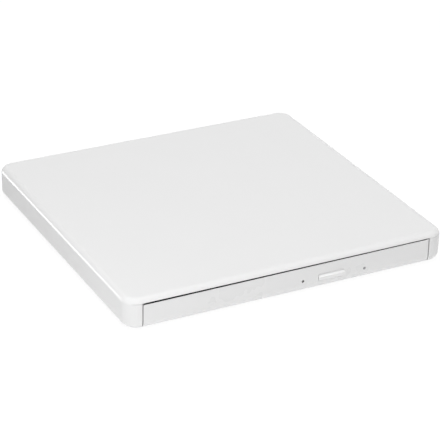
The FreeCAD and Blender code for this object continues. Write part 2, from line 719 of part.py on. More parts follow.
def ribbon_levels():
    """Heights of the fixed run, of the loop's lower and upper legs, and of the moving run."""
    fixed = PAN_FLOOR + 0.02
    low = fixed + RIBBON_T + RIBBON_GAP
    moving = TRAY_FLOOR_Z - RIBBON_GAP - RIBBON_T
    return fixed, low, moving - RIBBON_GAP - RIBBON_T, moving


def flex_fixed_run():
    """The stretch of ribbon cable that lies still on the pan."""
    return ribbon((-62.0, 50.0), ribbon_levels()[0])


def flex_bend():
    """The rolling loop of the ribbon cable and the leg that trails behind it."""
    _, low, high, _ = ribbon_levels()
    outer = (high + RIBBON_T - low) / 2
    start = (RIBBON_X[0], BEND_Y, low + outer)
    end = (RIBBON_X[1], BEND_Y, low + outer)
    loop = rod_along(start, end, outer).cut(rod_along(start, end, outer - RIBBON_T))
    back_half = block(ALL_PLAN, (BEND_Y, BEND_Y + 9), ALL_Z)
    leg = ribbon((BEND_Y, BEND_Y + 58.0), low)
    top = ribbon((BEND_Y, BEND_Y + 2.0), high)
    return joined(loop.cut(back_half), leg, top)


def flex_moving_run():
    """The stretch of ribbon cable that is glued under the tray."""
    return ribbon((BEND_Y - 4.0, 48.0), ribbon_levels()[3])


# Button board and latch

def button_board():
    """The small board behind the front that carries the switch and the lamp."""
    y = (BUTTON_BOARD_FRONT, BUTTON_BOARD_FRONT + 4.6)
    return block((10.0, 35.4), y, (BUTTON_BOARD_Z, BUTTON_BOARD_TOP))


def button_switch():
    """The side-pressed switch behind the button."""
    middle = sum(BUTTON_X) / 2
    front = BUTTON_BOARD_FRONT + 0.7
    body = block(span(middle, 4.8), (front, front + 2.7), (BUTTON_BOARD_TOP, BUTTON_BOARD_TOP + 1.8))
    plunger = block(span(middle, 1.4), (front - 0.3, front + 0.1),
                    (BUTTON_BOARD_TOP + 0.65, BUTTON_BOARD_TOP + 1.35))
    return joined(body, plunger)


def status_led():
    """The lamp behind the light pin."""
    front = BUTTON_BOARD_FRONT + 0.1
    return block(span(LIGHT[0], 1.6), (front, front + 1.4), (BUTTON_BOARD_TOP, BUTTON_BOARD_TOP + 1.7))


def latch_pin():
    """The pivot of the latch lever."""
    return post(LATCH_PIN_R, LATCH_PIVOT, (TRAY_LOW + 0.05, TRAY_FLOOR_Z + 0.5))


def latch_lever():
    """The lever with the hook, the arm for the pin hole and the armature, at its free angle."""
    x, y = LATCH_PIVOT
    back = y - LATCH_ARM_BACK
    pad = span(PIN_HOLE[0], 3.2)
    hub = post(2.3, LATCH_PIVOT, (LATCH_Z[0] - 0.3, LATCH_Z[1] + 0.2))
    hook_arm = block((x + 0.4, x + 2.8), (y, y + LATCH_REACH), LATCH_Z)
    tip = y + LATCH_REACH
    hook = [(x - 0.45, y + 11.4), (x + 1.0, y + 11.4), (x + 1.0, tip), (x + 0.1, tip)]
    pin_arm = [(x, back), (x, y + 0.6), (pad[0], y + 0.3), (pad[0], back)]
    pin_pad = block(pad, (back, back + 1.0), (LATCH_Z[0], TRAY_FLOOR_Z - 0.1))
    armature = block((x, x + 15.0), (back, back + 2.0), LATCH_Z)
    solid = joined(hub, hook_arm, slab(hook, LATCH_Z), slab(pin_arm, LATCH_Z), pin_pad, armature)
    return solid.cut(post(LATCH_PIN_R + 0.05, LATCH_PIVOT, ALL_Z))


def latch_coil():
    """The winding of the release magnet."""
    wall = TRAY_FRONT + TRAY_WALL
    body = rounded(COIL_X, (wall + 0.3, wall + 4.3), (3.55, 5.75), 0.4)
    return body.cut(block(wider(CORE_X, 0.1), ALL_PLAN, (4.15, 5.25)))


def latch_core():
    """The iron core inside the winding."""
    wall = TRAY_FRONT + TRAY_WALL
    return block(CORE_X, (wall + 0.15, wall + 4.9), (4.2, 5.2))


# Optical unit

def traverse_frame():
    """The steel frame of the optical unit, with holders for the rods and the screw."""
    outline = [(-19, -11), (-10, -20.5), (61.5, -20.5), (66, -16), (66, 20.5), (58.5, 28), (-7, 28),
               (-19, 12)]
    ears = [post(GROMMET_R + 0.6, s, FRAME_Z) for s in DAMPER_SPOTS]
    plate = joined(slab(outline, FRAME_Z), *ears)
    end = 61.9
    rotor_hole = post(ROTOR_R + 1.2, (0, 0), ALL_Z)
    sled_room = block((5.6, end), (-PICKUP_HALF - 0.6, PICKUP_HALF + 0.4), ALL_Z)
    screw_room = block((9.0, end), (PICKUP_HALF, SCREW_V + 2.1), ALL_Z)
    motor_room = block((-4.4, 9.4), (PICKUP_HALF - 0.1, SCREW_V + 4.4), ALL_Z)
    grommet_holes = [post(2.0, s, ALL_Z) for s in DAMPER_SPOTS]
    plate = without(plate, rotor_hole, sled_room, screw_room, motor_room, *grommet_holes)
    holders = [block((u, u + 3.0), span(v, 3.8), (3.7, 6.4)) for v in (-ROD_V, ROD_V) for u in (2.6, end)]
    screw_end = block((SCREW_U[1] + 0.4, SCREW_U[1] + 2.4), (SCREW_V - 2.0, SCREW_V + 2.3), (3.9, 6.3))
    rod_seats = [unit_rod(ROD_R + 0.01, v, wider(ROD_U, 0.1)) for v in (-ROD_V, ROD_V)]
    journal = unit_rod(SCREW_TAIL_R + 0.05, SCREW_V, (SCREW_U[1] - PAST, SCREW_U[1] + 1.7))
    return on_unit(without(joined(plate, *holders, screw_end), *rod_seats, journal))


def traverse_dampers():
    """Rubber grommets that carry the optical unit."""
    grommets = []
    for spot in DAMPER_SPOTS:
        low = post(GROMMET_R, spot, (4.3, FRAME_Z[0]))
        neck = post(1.98, spot, (4.3, 5.95))
        high = post(GROMMET_R, spot, (FRAME_Z[1], 5.98))
        grommets.append(on_unit(joined(low, neck, high).cut(post(1.05, spot, ALL_Z))))
    return Part.makeCompound(grommets)


def damper_screws():
    """Shoulder screws through the grommets, into the tray."""
    screws = []
    for spot in DAMPER_SPOTS:
        head = post(2.2, spot, (3.7, 4.28))
        shoulder = post(1.0, spot, (4.2, 5.98))
        thread = post(0.75, spot, (5.9, 6.85))
        slot = block(span(spot[0], 2.6), span(spot[1], 0.4), (0, 4.0))
        screws.append(on_unit(joined(head, shoulder, thread).cut(slot)))
    return Part.makeCompound(screws)


def spindle_base():
    """The motor's base plate with its bearing sleeve, riveted under the frame."""
    ear_spots = [(-7.4, -14.6), (-7.4, 14.6), (-16.4, 0)]
    plate = post(12.4, (0, 0), BASE_Z)
    ears = [post(2.4, s, (BASE_Z[0], FRAME_Z[0])) for s in ear_spots]
    arms = [block((-9.4, -5.4), (-15, -9), BASE_Z), block((-9.4, -5.4), (9, 15), BASE_Z),
            block((-16.4, -11), (-2, 2), BASE_Z)]
    sleeve = post(SLEEVE_R, (0, 0), (BASE_Z[0], 6.5))
    bore = post(SHAFT_R + 0.05, (0, 0), (BASE_Z[1], ALL_Z[1]))
    return on_unit(joined(plate, sleeve, *ears, *arms).cut(bore))


def spindle_stator():
    """The wound iron star inside the motor."""
    inner = SLEEVE_R + 0.1
    core = ring(5.2, inner, (0, 0), (4.4, 6.0))
    arm = block((4.8, 9.2), span(0, 1.2), (4.8, 5.6))
    shoe = block((9.0, STATOR_R), span(0, 4.4), (4.6, 5.8))
    coil = block((5.6, 8.6), span(0, 2.3), (4.2, 6.2))
    tooth = joined(arm, shoe, coil)
    teeth = [turned(tooth, 360.0 * i / STATOR_TEETH) for i in range(STATOR_TEETH)]
    return on_unit(joined(core, *teeth).common(ring(STATOR_R, inner, (0, 0), (4, 7))))


def spindle_rotor():
    """The spinning cup with its ring magnet and shaft."""
    cup = post(ROTOR_R, (0, 0), (ROTOR_LOW, ROTOR_TOP))
    hollow = post(ROTOR_INNER_R, (0, 0), (ROTOR_LOW - PAST, ROTOR_TOP - 0.6))
    step = post(ROTOR_R - 0.7, (0, 0), (ROTOR_LOW - PAST, ROTOR_LOW + 0.3))
    shaft = post(SHAFT_R, (0, 0), (BASE_Z[1] + 0.1, ROTOR_TOP - 0.2))
    solid = joined(without(cup, hollow, step), shaft)
    return on_unit(round_level(solid, 0.4, ROTOR_TOP))


def turntable_ring():
    """The rubber ring that the disc rests on."""
    inner, outer = TURNTABLE_R
    return on_unit(ring(outer, inner, (0, 0), (ROTOR_TOP, DISC_Z)))


def disc_hub():
    """The centring hub, hollow, with three windows for its claws."""
    crown_r = HUB_R - 0.3
    flange = post(TURNTABLE_R[0] - 0.1, (0, 0), (ROTOR_TOP, DISC_Z))
    wall = post(HUB_R, (0, 0), (ROTOR_TOP, HUB_WALL_TOP))
    crown = round_level(post(crown_r, (0, 0), (HUB_WALL_TOP - 0.1, HUB_TOP)), 0.7, HUB_TOP)
    hollow = ring(6.2, 2.6, (0, 0), (8.6, HUB_TOP - 0.2))
    window = block((5.0, 9.0), span(0, 2 * CLAW_HALF + 0.3), wider(CLAW_Z, 0.08))
    windows = [turned(window, angle) for angle in CLAW_ANGLES]
    dimple = post(1.4, (0, 0), (HUB_TOP - 0.4, HUB_TOP + PAST))
    return on_unit(without(joined(flange, wall, crown), hollow, *windows, dimple))


def hub_claw(angle):
    """One sprung claw that holds the disc down on the hub."""
    root, tip = HUB_R + 0.1, HUB_R + 0.35
    body = block((4.2, root), span(0, 2 * CLAW_HALF), CLAW_Z)
    nose = slab([(HUB_R, -CLAW_HALF), (tip, -0.9), (tip, 0.9), (HUB_R, CLAW_HALF)], (CLAW_Z[0], 9.95))
    return on_unit(turned(joined(body, nose), angle))


def guide_rod(v):
    """A polished rod that the pickup slides on."""
    return on_unit(unit_rod(ROD_R, v, ROD_U))


def feed_motor():
    """The flat stepping motor that turns the lead screw."""
    can = unit_rod(3.7, SCREW_V, (-3.9, 8.6)).common(block(ALL_PLAN, ALL_PLAN, (3.45, 6.75)))
    flange = block((8.4, 9.2), (SCREW_V - 3.5, SCREW_V + 3.8), (3.6, 6.6))
    return on_unit(joined(can, flange).cut(unit_rod(SCREW_HEAD_R + 0.05, SCREW_V, (0, 12))))


def lead_screw():
    """The feed screw: a rod with one helical groove, and journals at both ends."""
    u0, u1 = SCREW_U
    start = u0 - SCREW_PITCH
    turns = (u1 - u0) / SCREW_PITCH + 2
    helix = Part.makeHelix(SCREW_PITCH, turns * SCREW_PITCH, SCREW_R)
    helix.translate(vec(0, 0, start))
    mouth, bed = 0.55, 0.33
    outer, inner = SCREW_R + 0.2, SCREW_R - SCREW_GROOVE
    corners = [vec(outer, 0, start - mouth), vec(outer, 0, start + mouth), vec(inner, 0, start + bed),
               vec(inner, 0, start - bed)]
    profile = Part.makePolygon(corners + corners[:1])
    groove = Part.Wire(helix.Edges).makePipeShell([profile], True, True)
    body = rod_along((0, 0, u0), (0, 0, u1), SCREW_R).cut(groove)
    head = rod_along((0, 0, 1.0), (0, 0, u0 + 0.3), SCREW_HEAD_R)
    tail = rod_along((0, 0, u1 - 0.3), (0, 0, u1 + 1.5), SCREW_TAIL_R)
    solid = joined(body, head, tail)
    solid.rotate(vec(0, 0, 0), vec(0, 1, 0), 90)
    solid.translate(vec(0, SCREW_V, AXIS_Z))
    return on_unit(solid)


def actuator_well(z):
    """The space that the lens holder floats in."""
    return block((LENS_U - 6.2, LENS_U + 3.5), span(0, 15.2), (z, ALL_Z[1]))


def pickup_body():
    """The cast sled with its rod bearings and the well for the lens actuator."""
    u = (LENS_U - 15.4, LENS_U + 3.8)
    magnet_z = (4.5, 6.9)
    sled = block(u, span(0, 2 * PICKUP_HALF), (3.6, 6.6))
    sled = without(sled, post(ROTOR_R + 1.1, (0, 0), ALL_Z), actuator_well(4.6))
    magnets = [block((LENS_U - 6.0, LENS_U - 4.2), span(0, 10), magnet_z),
               block((LENS_U + 2.7, LENS_U + 3.4), span(0, 10), magnet_z)]
    bore = unit_rod(ROD_R + 0.04, ROD_V, (0, 70))
    slot = block((0, 70), (-30, -ROD_V + ROD_R + 0.3), span(AXIS_Z, 2 * ROD_R + 0.08))
    relief = block(wider(u, -5.0), (ROD_V - 1.0, PICKUP_HALF + PAST), (6.0, 7.0))
    laser = block((LENS_U - 2.4, LENS_U + 1.6), (-14.2, -9.0), (4.4, ALL_Z[1]))
    return on_unit(without(joined(sled, *magnets), bore, slot, relief, laser))


def pickup_cover():
    """The thin cover over the pickup, open over the lens."""
    plate = block((LENS_U - 9.9, LENS_U + 3.8), (-13.8, 13.0), (6.6, 6.8))
    return on_unit(without(plate, actuator_well(0), post(ROTOR_R + 1.4, (0, 0), ALL_Z)))


def lens_holder():
    """The moving holder that carries the lens and its focus coil."""
    spot = (LENS_U, 0)
    body = rounded((LENS_U - 3.1, LENS_U + 2.5), span(0, 9.2), (5.2, 7.1), 0.6)
    collar = post(LENS_R + 0.5, spot, (5.2, 7.35))
    seat = post(LENS_R + 0.05, spot, (6.4, ALL_Z[1]))
    beam = post(LENS_R - 0.5, spot, ALL_Z)
    return on_unit(without(joined(body, collar), seat, beam))


def objective_lens():
    """The small lens, domed on top."""
    spot = (LENS_U, 0)
    dome_r = 3.3
    disc = post(LENS_R, spot, (6.4, 6.95))
    dome = Part.makeSphere(dome_r, vec(spot[0], spot[1], LENS_Z - dome_r))
    return on_unit(joined(disc, dome.common(post(LENS_R - 0.3, spot, (6.9, ALL_Z[1])))))


def screw_follower():
    """The plastic arm on the pickup with two teeth in the screw's groove."""
    u = (LENS_U - 11.9, LENS_U - 3.9)
    top = 6.85
    foot = block(u, (ROD_V + 0.4, PICKUP_HALF + 0.4), (6.6, top))
    side = block(u, (PICKUP_HALF + 0.05, PICKUP_HALF + 0.9), (5.0, top))
    arm = block(u, (PICKUP_HALF + 0.05, SCREW_V + 0.8), (6.45, top))
    groove_angle = math.degrees(math.atan(SCREW_PITCH / (2 * math.pi * (SCREW_R - 0.15))))
    teeth = []
    for turn in (2, 3):
        tooth = block(span(0, 0.32), span(0, 0.8), (AXIS_Z + SCREW_R - 0.2, 6.5))
        tooth.rotate(vec(0, 0, 0), vec(0, 0, 1), groove_angle)
        tooth.translate(vec(SCREW_U[0] + (turn - 0.5) * SCREW_PITCH, SCREW_V, 0))
        teeth.append(tooth)
    return on_unit(joined(foot, side, arm, *teeth))


# Boards and sockets

def main_board():
    """The drive's own board, at the back of the pan."""
    return rounded((-57.0, 53.4), (40.0, 57.6), (MAIN_BOARD_Z, MAIN_BOARD_Z + BOARD_T), 1.0)


def parts_on(top, boxes):
    """Low blocks on a board. Each box is a pair of limits in X, one in Y, and a height."""
    return [block(x, y, (top, top + height)) for x, y, height in boxes]


def main_chips():
    """The parts on the drive's board."""
    boxes = [((5, 17), (42.5, 54.5), 1.1), ((22, 29), (46, 53), 1.0), ((-50, -44), (46, 52), 0.9),
             ((-41, -37.8), (45, 50), 1.2)]
    boxes += [((x, x + 1.6), (43.0, 43.9), 0.6) for x in range(-30, -9, 4)]
    return Part.makeCompound(parts_on(MAIN_BOARD_Z + BOARD_T, boxes))


def sata_plug():
    """The drive's data and power plug."""
    body = block(SATA_X, (52.8, 58.2), (MAIN_BOARD_Z + BOARD_T, 7.6))
    tongue = block(wider(SATA_X, -3.0), (58.0, 61.4), (5.3, 6.4))
    return joined(body, tongue)


def sata_receptacle():
    """The socket on the bridge board that the drive plugs into."""
    body = block(wider(SATA_X, 1.0), (58.95, 64.6), (BRIDGE_Z + BRIDGE_T, 8.0))
    return body.cut(block(wider(SATA_X, -2.8), (58, 61.8), (5.2, 6.5)))


def bridge_board():
    """The narrow board behind the drive."""
    board = rounded((-56.0, 12.0), BRIDGE_Y, (BRIDGE_Z, BRIDGE_Z + BRIDGE_T), 0.8)
    return without(board, *[post(1.0, s, ALL_Z) for s in BRIDGE_PIN_SPOTS])


def bridge_chips():
    """The parts on the bridge board."""
    boxes = [((2.0, 8.0), (60.2, 66.2), 1.0), ((-37.6, -34.6), (60.4, 65.4), 0.9)]
    boxes += [((9.0, 10.6), (y, y + 0.9), 0.7) for y in (60.4, 62.4, 64.4)]
    return Part.makeCompound(parts_on(BRIDGE_Z + BRIDGE_T, boxes))


def usb_profile(inset, y):
    """The small socket's section, wide above and narrower below, carried along Y."""
    x0, x1 = wider(USB_X, -inset)
    z0, z1 = wider((USB_Z, USB_Z + USB_HEIGHT), -inset)
    shoulder = USB_Z + 1.5
    foot = 1.2
    points = [(x0 + foot, z0), (x1 - foot, z0), (x1, shoulder), (x1, z1), (x0, z1), (x0, shoulder)]
    return front_slab(points, y)


def usb_shell():
    """The socket's folded metal shell."""
    return usb_profile(0, USB_Y).cut(usb_profile(USB_SHEET, wider(USB_Y, PAST)))


def usb_insert():
    """The socket's plastic block and tongue, with five contact strips."""
    middle = sum(USB_X) / 2
    tongue_z = (USB_Z + 2.2, USB_Z + 2.9)
    base = usb_profile(USB_SHEET + 0.02, (USB_Y[0] + 0.2, USB_Y[0] + 2.4))
    tongue = block(span(middle, 5.0), (USB_Y[0] + 2.3, USB_Y[1] - 1.2), tongue_z)
    strips = [block(span(middle + i * 0.8, 0.3), (USB_Y[0] + 2.3, USB_Y[1] - 1.6), span(tongue_z[0], 0.2))
              for i in range(-2, 3)]
    return joined(base, tongue, *strips)


# Ejector

def ejector_line(radius, y):
    """A cylinder on the ejector's line."""
    return rod_along((EJECTOR_X, y[0], EJECTOR_Z), (EJECTOR_X, y[1], EJECTOR_Z), radius)


def eject_guide_rod():
    """The rod that the ejector slides on."""
    return ejector_line(EJECTOR_ROD_R, (EJECTOR_FRONT, DRIVE_BACK - SHEET))


def eject_pusher():
    """The sprung slider that pushes the tray's back edge."""
    front = TRAY_BACK + 0.1
    body = block(span(EJECTOR_X, 2 * PUSHER_HALF), (front, front + PUSHER_T), PUSHER_Z)
    return body.cut(ejector_line(EJECTOR_ROD_R + 0.05, (EJECTOR_FRONT, DRIVE_BACK)))


def eject_spring():
    """The ejector's coil spring, pressed together behind the closed tray."""
    wire_r, coil_r, turns = 0.17, 1.25, 7
    y0, y1 = wider((TRAY_BACK + 0.1 + PUSHER_T, DRIVE_BACK - SHEET), -wire_r - 0.03)
    helix = Part.makeHelix((y1 - y0) / turns, y1 - y0, coil_r)
    section = Part.Wire(Part.makeCircle(wire_r, vec(coil_r, 0, 0), vec(0, 1, 0)))
    coil = Part.Wire(helix.Edges).makePipeShell([section], True, True)
    coil.rotate(vec(0, 0, 0), vec(1, 0, 0), -90)
    coil.translate(vec(EJECTOR_X, y0, EJECTOR_Z))
    return coil


def pieces():
    """Every piece by its node name."""
    makers = [top_cover, bottom_cover, rubber_feet, case_screws, drive_screws, lid_screws, drive_chassis,
              drive_lid, rail_guides, bezel, front_seal, eject_button, activity_light, tray,
              tray_bottom_plate, tray_screws, deck_cover, flex_fixed_run, flex_bend, flex_moving_run,
              button_board, button_switch,
              status_led, latch_pin, latch_lever, latch_coil, latch_core, traverse_frame,
              traverse_dampers, damper_screws, spindle_base, spindle_stator, spindle_rotor,
              turntable_ring, disc_hub, feed_motor, lead_screw, pickup_body, pickup_cover, lens_holder,
              objective_lens, screw_follower, main_board, main_chips, sata_plug, sata_receptacle,
              bridge_board, bridge_chips, usb_shell, usb_insert, eject_guide_rod, eject_pusher,
              eject_spring]
    found = {maker.__name__: maker() for maker in makers}
    found["right_rail"], found["left_rail"] = both_sides(rail())
    found["main_guide_rod"] = guide_rod(ROD_V)
    found["side_guide_rod"] = guide_rod(-ROD_V)
    for number, angle in enumerate(CLAW_ANGLES, 1):
        found[f"hub_claw_{number}"] = hub_claw(angle)
    return found


def main():
    os.makedirs("parts", exist_ok=True)
    for name, shape in pieces().items():
        sound = all(s.isValid() and s.isClosed() for s in shape.Solids)
        if not shape.Solids or not sound:
            raise RuntimeError(f"{name} is not a sound solid")
        shape.exportStep(f"parts/{name}.step")
        print(name, len(shape.Solids), round(shape.Volume, 2))


main()
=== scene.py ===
"""Looks for an external slim disc drive: finishes for its moulded, pressed and turned pieces, the
fine pieces that are too small for the solid model, and a plain pale studio with its camera."""
import math

import bmesh
import bpy
import numpy as np
from mathutils import Matrix, Vector


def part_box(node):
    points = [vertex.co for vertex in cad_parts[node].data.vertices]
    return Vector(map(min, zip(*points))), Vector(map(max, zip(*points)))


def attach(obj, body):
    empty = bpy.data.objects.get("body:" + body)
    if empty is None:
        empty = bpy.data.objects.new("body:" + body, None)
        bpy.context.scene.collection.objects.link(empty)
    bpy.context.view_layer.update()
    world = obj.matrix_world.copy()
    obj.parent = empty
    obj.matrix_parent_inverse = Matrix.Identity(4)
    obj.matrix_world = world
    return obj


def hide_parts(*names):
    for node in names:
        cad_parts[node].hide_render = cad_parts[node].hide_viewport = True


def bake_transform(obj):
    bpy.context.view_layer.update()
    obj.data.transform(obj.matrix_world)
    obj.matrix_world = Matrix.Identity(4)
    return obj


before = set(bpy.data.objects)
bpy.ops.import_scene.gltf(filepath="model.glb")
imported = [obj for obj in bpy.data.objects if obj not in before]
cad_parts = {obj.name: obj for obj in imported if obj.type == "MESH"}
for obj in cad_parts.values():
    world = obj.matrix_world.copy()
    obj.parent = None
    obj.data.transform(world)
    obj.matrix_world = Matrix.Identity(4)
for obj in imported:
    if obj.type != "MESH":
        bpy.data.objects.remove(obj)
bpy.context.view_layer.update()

bl_info = {
    "name": "Slim Disc Drive",
    "version": (1, 0, 0),
    "blender": (4, 5, 0),
    "location": "3D View > Sidebar > Disc Drive",
    "description": "Finishes and fine pieces for an external slim disc drive",
    "category": "Object",
}

MM = 0.001
PHOTO_SIDE = 440
# The optical unit lies aslant under the tray. Its own axes u and v start at the spindle.
UNIT_TURN = math.radians(225.0)
SPINDLE_Y = -3.0


# Settings

def colour_setting(name, description, default):
    """A colour that the user can change."""
    return bpy.props.FloatVectorProperty(name=name, description=description, subtype="COLOR",
                                         size=3, min=0.0, max=1.0, default=default)


def length_setting(name, description, default):
    """A length in metres that the user can change."""
    return bpy.props.FloatProperty(name=name, description=description, unit="LENGTH", min=1e-6,
                                   max=2.0, precision=6, default=default)


def share_setting(name, description, default):
    """A number from 0 to 1 that the user can change."""
    return bpy.props.FloatProperty(name=name, description=description, subtype="FACTOR", min=0.0,
                                   max=1.0, default=default)


class CaseSettings(bpy.types.PropertyGroup):
    """The white outside."""
    shell_colour: colour_setting("Shell", "Colour of the case and the tray front", (0.80, 0.80, 0.80))
    shell_roughness: share_setting("Shell roughness", "How matt the case is", 0.30)
    grain_size: length_setting("Grain size", "Size of the fine moulded grain", 0.00022)
    grain_depth: length_setting("Grain depth", "Depth of the fine moulded grain", 0.0000012)
    light_colour: colour_setting("Light pin", "Colour of the smoked light pin", (0.30, 0.30, 0.31))
    foot_colour: colour_setting("Feet", "Colour of the rubber feet", (0.55, 0.55, 0.56))


class DriveSettings(bpy.types.PropertyGroup):
    """The drive inside the case."""
    tray_colour: colour_setting("Tray", "Colour of the tray", (0.030, 0.030, 0.032))
    deck_colour: colour_setting("Deck", "Colour of the deck round the spindle", (0.46, 0.47, 0.49))
    sheet_colour: colour_setting("Sheet steel", "Colour of the pan and lid", (0.45, 0.46, 0.47))
    board_colour: colour_setting("Boards", "Colour of the solder mask", (0.012, 0.115, 0.050))
    ribbon_colour: colour_setting("Ribbon cable", "Colour of the amber film", (0.62, 0.27, 0.05))
    copper_colour: colour_setting("Windings", "Colour of the enamelled wire", (0.62, 0.25, 0.10))
    wire_radius: length_setting("Wire radius", "Radius of the winding wire", 0.00009)
    spring_turns: bpy.props.IntProperty(name="Spring turns", description="Turns of the ejector's spring",
                                        min=3, max=20, default=7)


class StudioSettings(bpy.types.PropertyGroup):
    """The floor, the lamps and the camera."""
    floor_colour: colour_setting("Floor", "Colour of the floor", (0.92, 0.92, 0.92))
    lamp_level: bpy.props.FloatProperty(name="Lamp level", description="Share of the lamps' full power",
                                        min=0.0, max=4.0, default=1.0)
    sky_level: bpy.props.FloatProperty(name="Sky level", description="Strength of the even light all round",
                                       min=0.0, max=2.0, default=0.16)
    camera_distance: length_setting("Camera distance", "From the camera to the drive's middle", 0.80498)


# Node helpers

def node(tree, kind, inputs=None, **settings):
    """A node with its settings, and its inputs as values or as sockets to link from."""
    made = tree.nodes.new(kind)
    for key, value in settings.items():
        setattr(made, key, value)
    for key, value in (inputs or {}).items():
        if isinstance(value, bpy.types.NodeSocket):
            tree.links.new(value, made.inputs[key])
        else:
            made.inputs[key].default_value = value
    return made


def calc(tree, operation, first, second=0.0, third=0.0):
    """One step of arithmetic on numbers."""
    return node(tree, "ShaderNodeMath", {0: first, 1: second, 2: third}, operation=operation).outputs[0]


def between(tree, factor, low, high):
    """A number that goes from low to high as the factor goes from 0 to 1."""
    span = {"Value": factor, "To Min": low, "To Max": high}
    return node(tree, "ShaderNodeMapRange", span).outputs["Result"]


def fading(tree, value, start, end):
    """A number that goes softly from 0 to 1 as the value goes from start to end."""
    span = {"Value": value, "From Min": start, "From Max": end}
    return node(tree, "ShaderNodeMapRange", span, interpolation_type="SMOOTHSTEP").outputs["Result"]


def noise(tree, vector, scale, detail=2.0, roughness=0.5):
    """Soft noise from 0 to 1."""
    return node(tree, "ShaderNodeTexNoise", {"Vector": vector, "Scale": scale, "Detail": detail,
                                             "Roughness": roughness}).outputs["Fac"]


def mixed(tree, factor, first, second):
    """A colour between two."""
    mix = node(tree, "ShaderNodeMix", {"Factor": factor}, data_type="RGBA")
    for socket, value in ((mix.inputs[6], first), (mix.inputs[7], second)):
        if isinstance(value, bpy.types.NodeSocket):
            tree.links.new(value, socket)
        else:
            socket.default_value = (*value[:3], 1.0)
    return mix.outputs[2]


def stretched(tree, vector, scale):
    """Coordinates multiplied along each axis."""
    return node(tree, "ShaderNodeVectorMath", {0: vector, 1: scale}, operation="MULTIPLY").outputs[0]


def effect(name, values, build, outputs=("Height", "Tone")):
    """A shader node group, built once, and the values to place it with. It takes a Vector and the
    named numbers, and gives the named outputs."""
    found = bpy.data.node_groups.get(name)
    if found:
        return found, values
    tree = bpy.data.node_groups.new(name, "ShaderNodeTree")
    tree.interface.new_socket("Vector", in_out="INPUT", socket_type="NodeSocketVector")
    for key in values:
        tree.interface.new_socket(key, in_out="INPUT", socket_type="NodeSocketFloat")
    for key in outputs:
        tree.interface.new_socket(key, in_out="OUTPUT", socket_type="NodeSocketFloat")
    given = tree.nodes.new("NodeGroupInput").outputs
    node(tree, "NodeGroupOutput", dict(zip(outputs, build(tree, given))))
    return tree, values


def placed(tree, vector, pattern):
    """The outputs of an effect that stands in a material with its own values."""
    group, values = pattern
    return node(tree, "ShaderNodeGroup", {"Vector": vector, **values}, node_tree=group).outputs


def moulded_grain(size):
    """Fine pebbled grain of moulded plastic, with slow clouds of tone."""
    def build(tree, given):
        scale = calc(tree, "DIVIDE", 1.0, given["Size"])
        fine = noise(tree, given["Vector"], scale, 3.0, 0.55)
        clouds = noise(tree, given["Vector"], calc(tree, "MULTIPLY", scale, 0.012), 2.0, 0.5)
        return fine, clouds
    return effect("Moulded Grain", {"Size": size}, build)


def drawn_lines(x, y, z):
    """Fine straight lines of brushed or rolled metal. X, Y and Z say how fast the pattern changes."""
    def build(tree, given):
        rates = node(tree, "ShaderNodeCombineXYZ", {k: given[k] for k in "XYZ"}).outputs[0]
        along = stretched(tree, given["Vector"], rates)
        lines = noise(tree, along, 1.0, 4.0, 0.65)
        slow = 0.17
        bands = noise(tree, stretched(tree, along, (slow, slow, slow)), 1.0, 2.0, 0.5)
        return lines, calc(tree, "MULTIPLY_ADD", lines, 0.5, calc(tree, "MULTIPLY", bands, 0.5))
    return effect("Drawn Lines", {"X": x, "Y": y, "Z": z}, build)


def turned_rings_and_sheen(pitch, x=0.0, y=SPINDLE_Y * MM):
    """Fine circles left by turning, round an upright axis at X and Y, one Pitch apart, and a painted sheen:
    the tone is lighter along y through the axis and darker along x.
    """
    def build(tree, given):
        axes = node(tree, "ShaderNodeSeparateXYZ", {0: given["Vector"]}).outputs
        across = calc(tree, "SUBTRACT", axes[0], given["X"])
        along = calc(tree, "SUBTRACT", axes[1], given["Y"])
        reach = calc(tree, "SQRT", calc(tree, "ADD", calc(tree, "MULTIPLY", across, across),
                                        calc(tree, "MULTIPLY", along, along)))
        step = calc(tree, "DIVIDE", reach, given["Pitch"])
        rings = node(tree, "ShaderNodeTexNoise", {"W": step, "Scale": 1.0, "Detail": 3.0},
                     noise_dimensions="1D").outputs["Fac"]
        # Painted sheen: the colour is lighter along y through the axis, as a fixed bright streak
        angle = calc(tree, "ARCTAN2", along, across)
        painted_sheen = calc(tree, "ABSOLUTE", calc(tree, "SINE", angle))
        return rings, calc(tree, "MULTIPLY_ADD", painted_sheen, 0.35, calc(tree, "MULTIPLY", rings, 0.65))
    return effect("Turned Rings And Painted Sheen", {"X": x, "Y": y, "Pitch": pitch}, build)


def spangle(size):
    """The flat crystal patches of zinc plating."""
    def build(tree, given):
        scale = calc(tree, "DIVIDE", 1.0, given["Size"])
        cells = node(tree, "ShaderNodeTexVoronoi", {"Vector": given["Vector"], "Scale": scale})
        split = node(tree, "ShaderNodeSeparateColor", {0: cells.outputs["Color"]}).outputs[0]
        fine = noise(tree, given["Vector"], calc(tree, "MULTIPLY", scale, 9.0), 2.0, 0.5)
        return fine, split
    return effect("Zinc Spangle", {"Size": size}, build)


def pores(size):
    """Open cells of foam, or the fine pits of rubber and castings."""
    def build(tree, given):
        scale = calc(tree, "DIVIDE", 1.0, given["Size"])
        cells = node(tree, "ShaderNodeTexVoronoi", {"Vector": given["Vector"], "Scale": scale})
        deep = calc(tree, "MINIMUM", calc(tree, "MULTIPLY", cells.outputs["Distance"], 1.6), 1.0)
        clouds = noise(tree, given["Vector"], calc(tree, "MULTIPLY", scale, 0.08), 2.0, 0.5)
        return deep, calc(tree, "MULTIPLY_ADD", deep, 0.5, calc(tree, "MULTIPLY", clouds, 0.5))
    return effect("Pores", {"Size": size}, build)


def smudges(size):
    """Slow patches that make a surface a little more and less glossy."""
    def build(tree, given):
        scale = calc(tree, "DIVIDE", 1.0, given["Size"])
        return [noise(tree, given["Vector"], scale, 4.0, 0.6)]
    return effect("Smudges", {"Size": size}, build, ["Tone"])


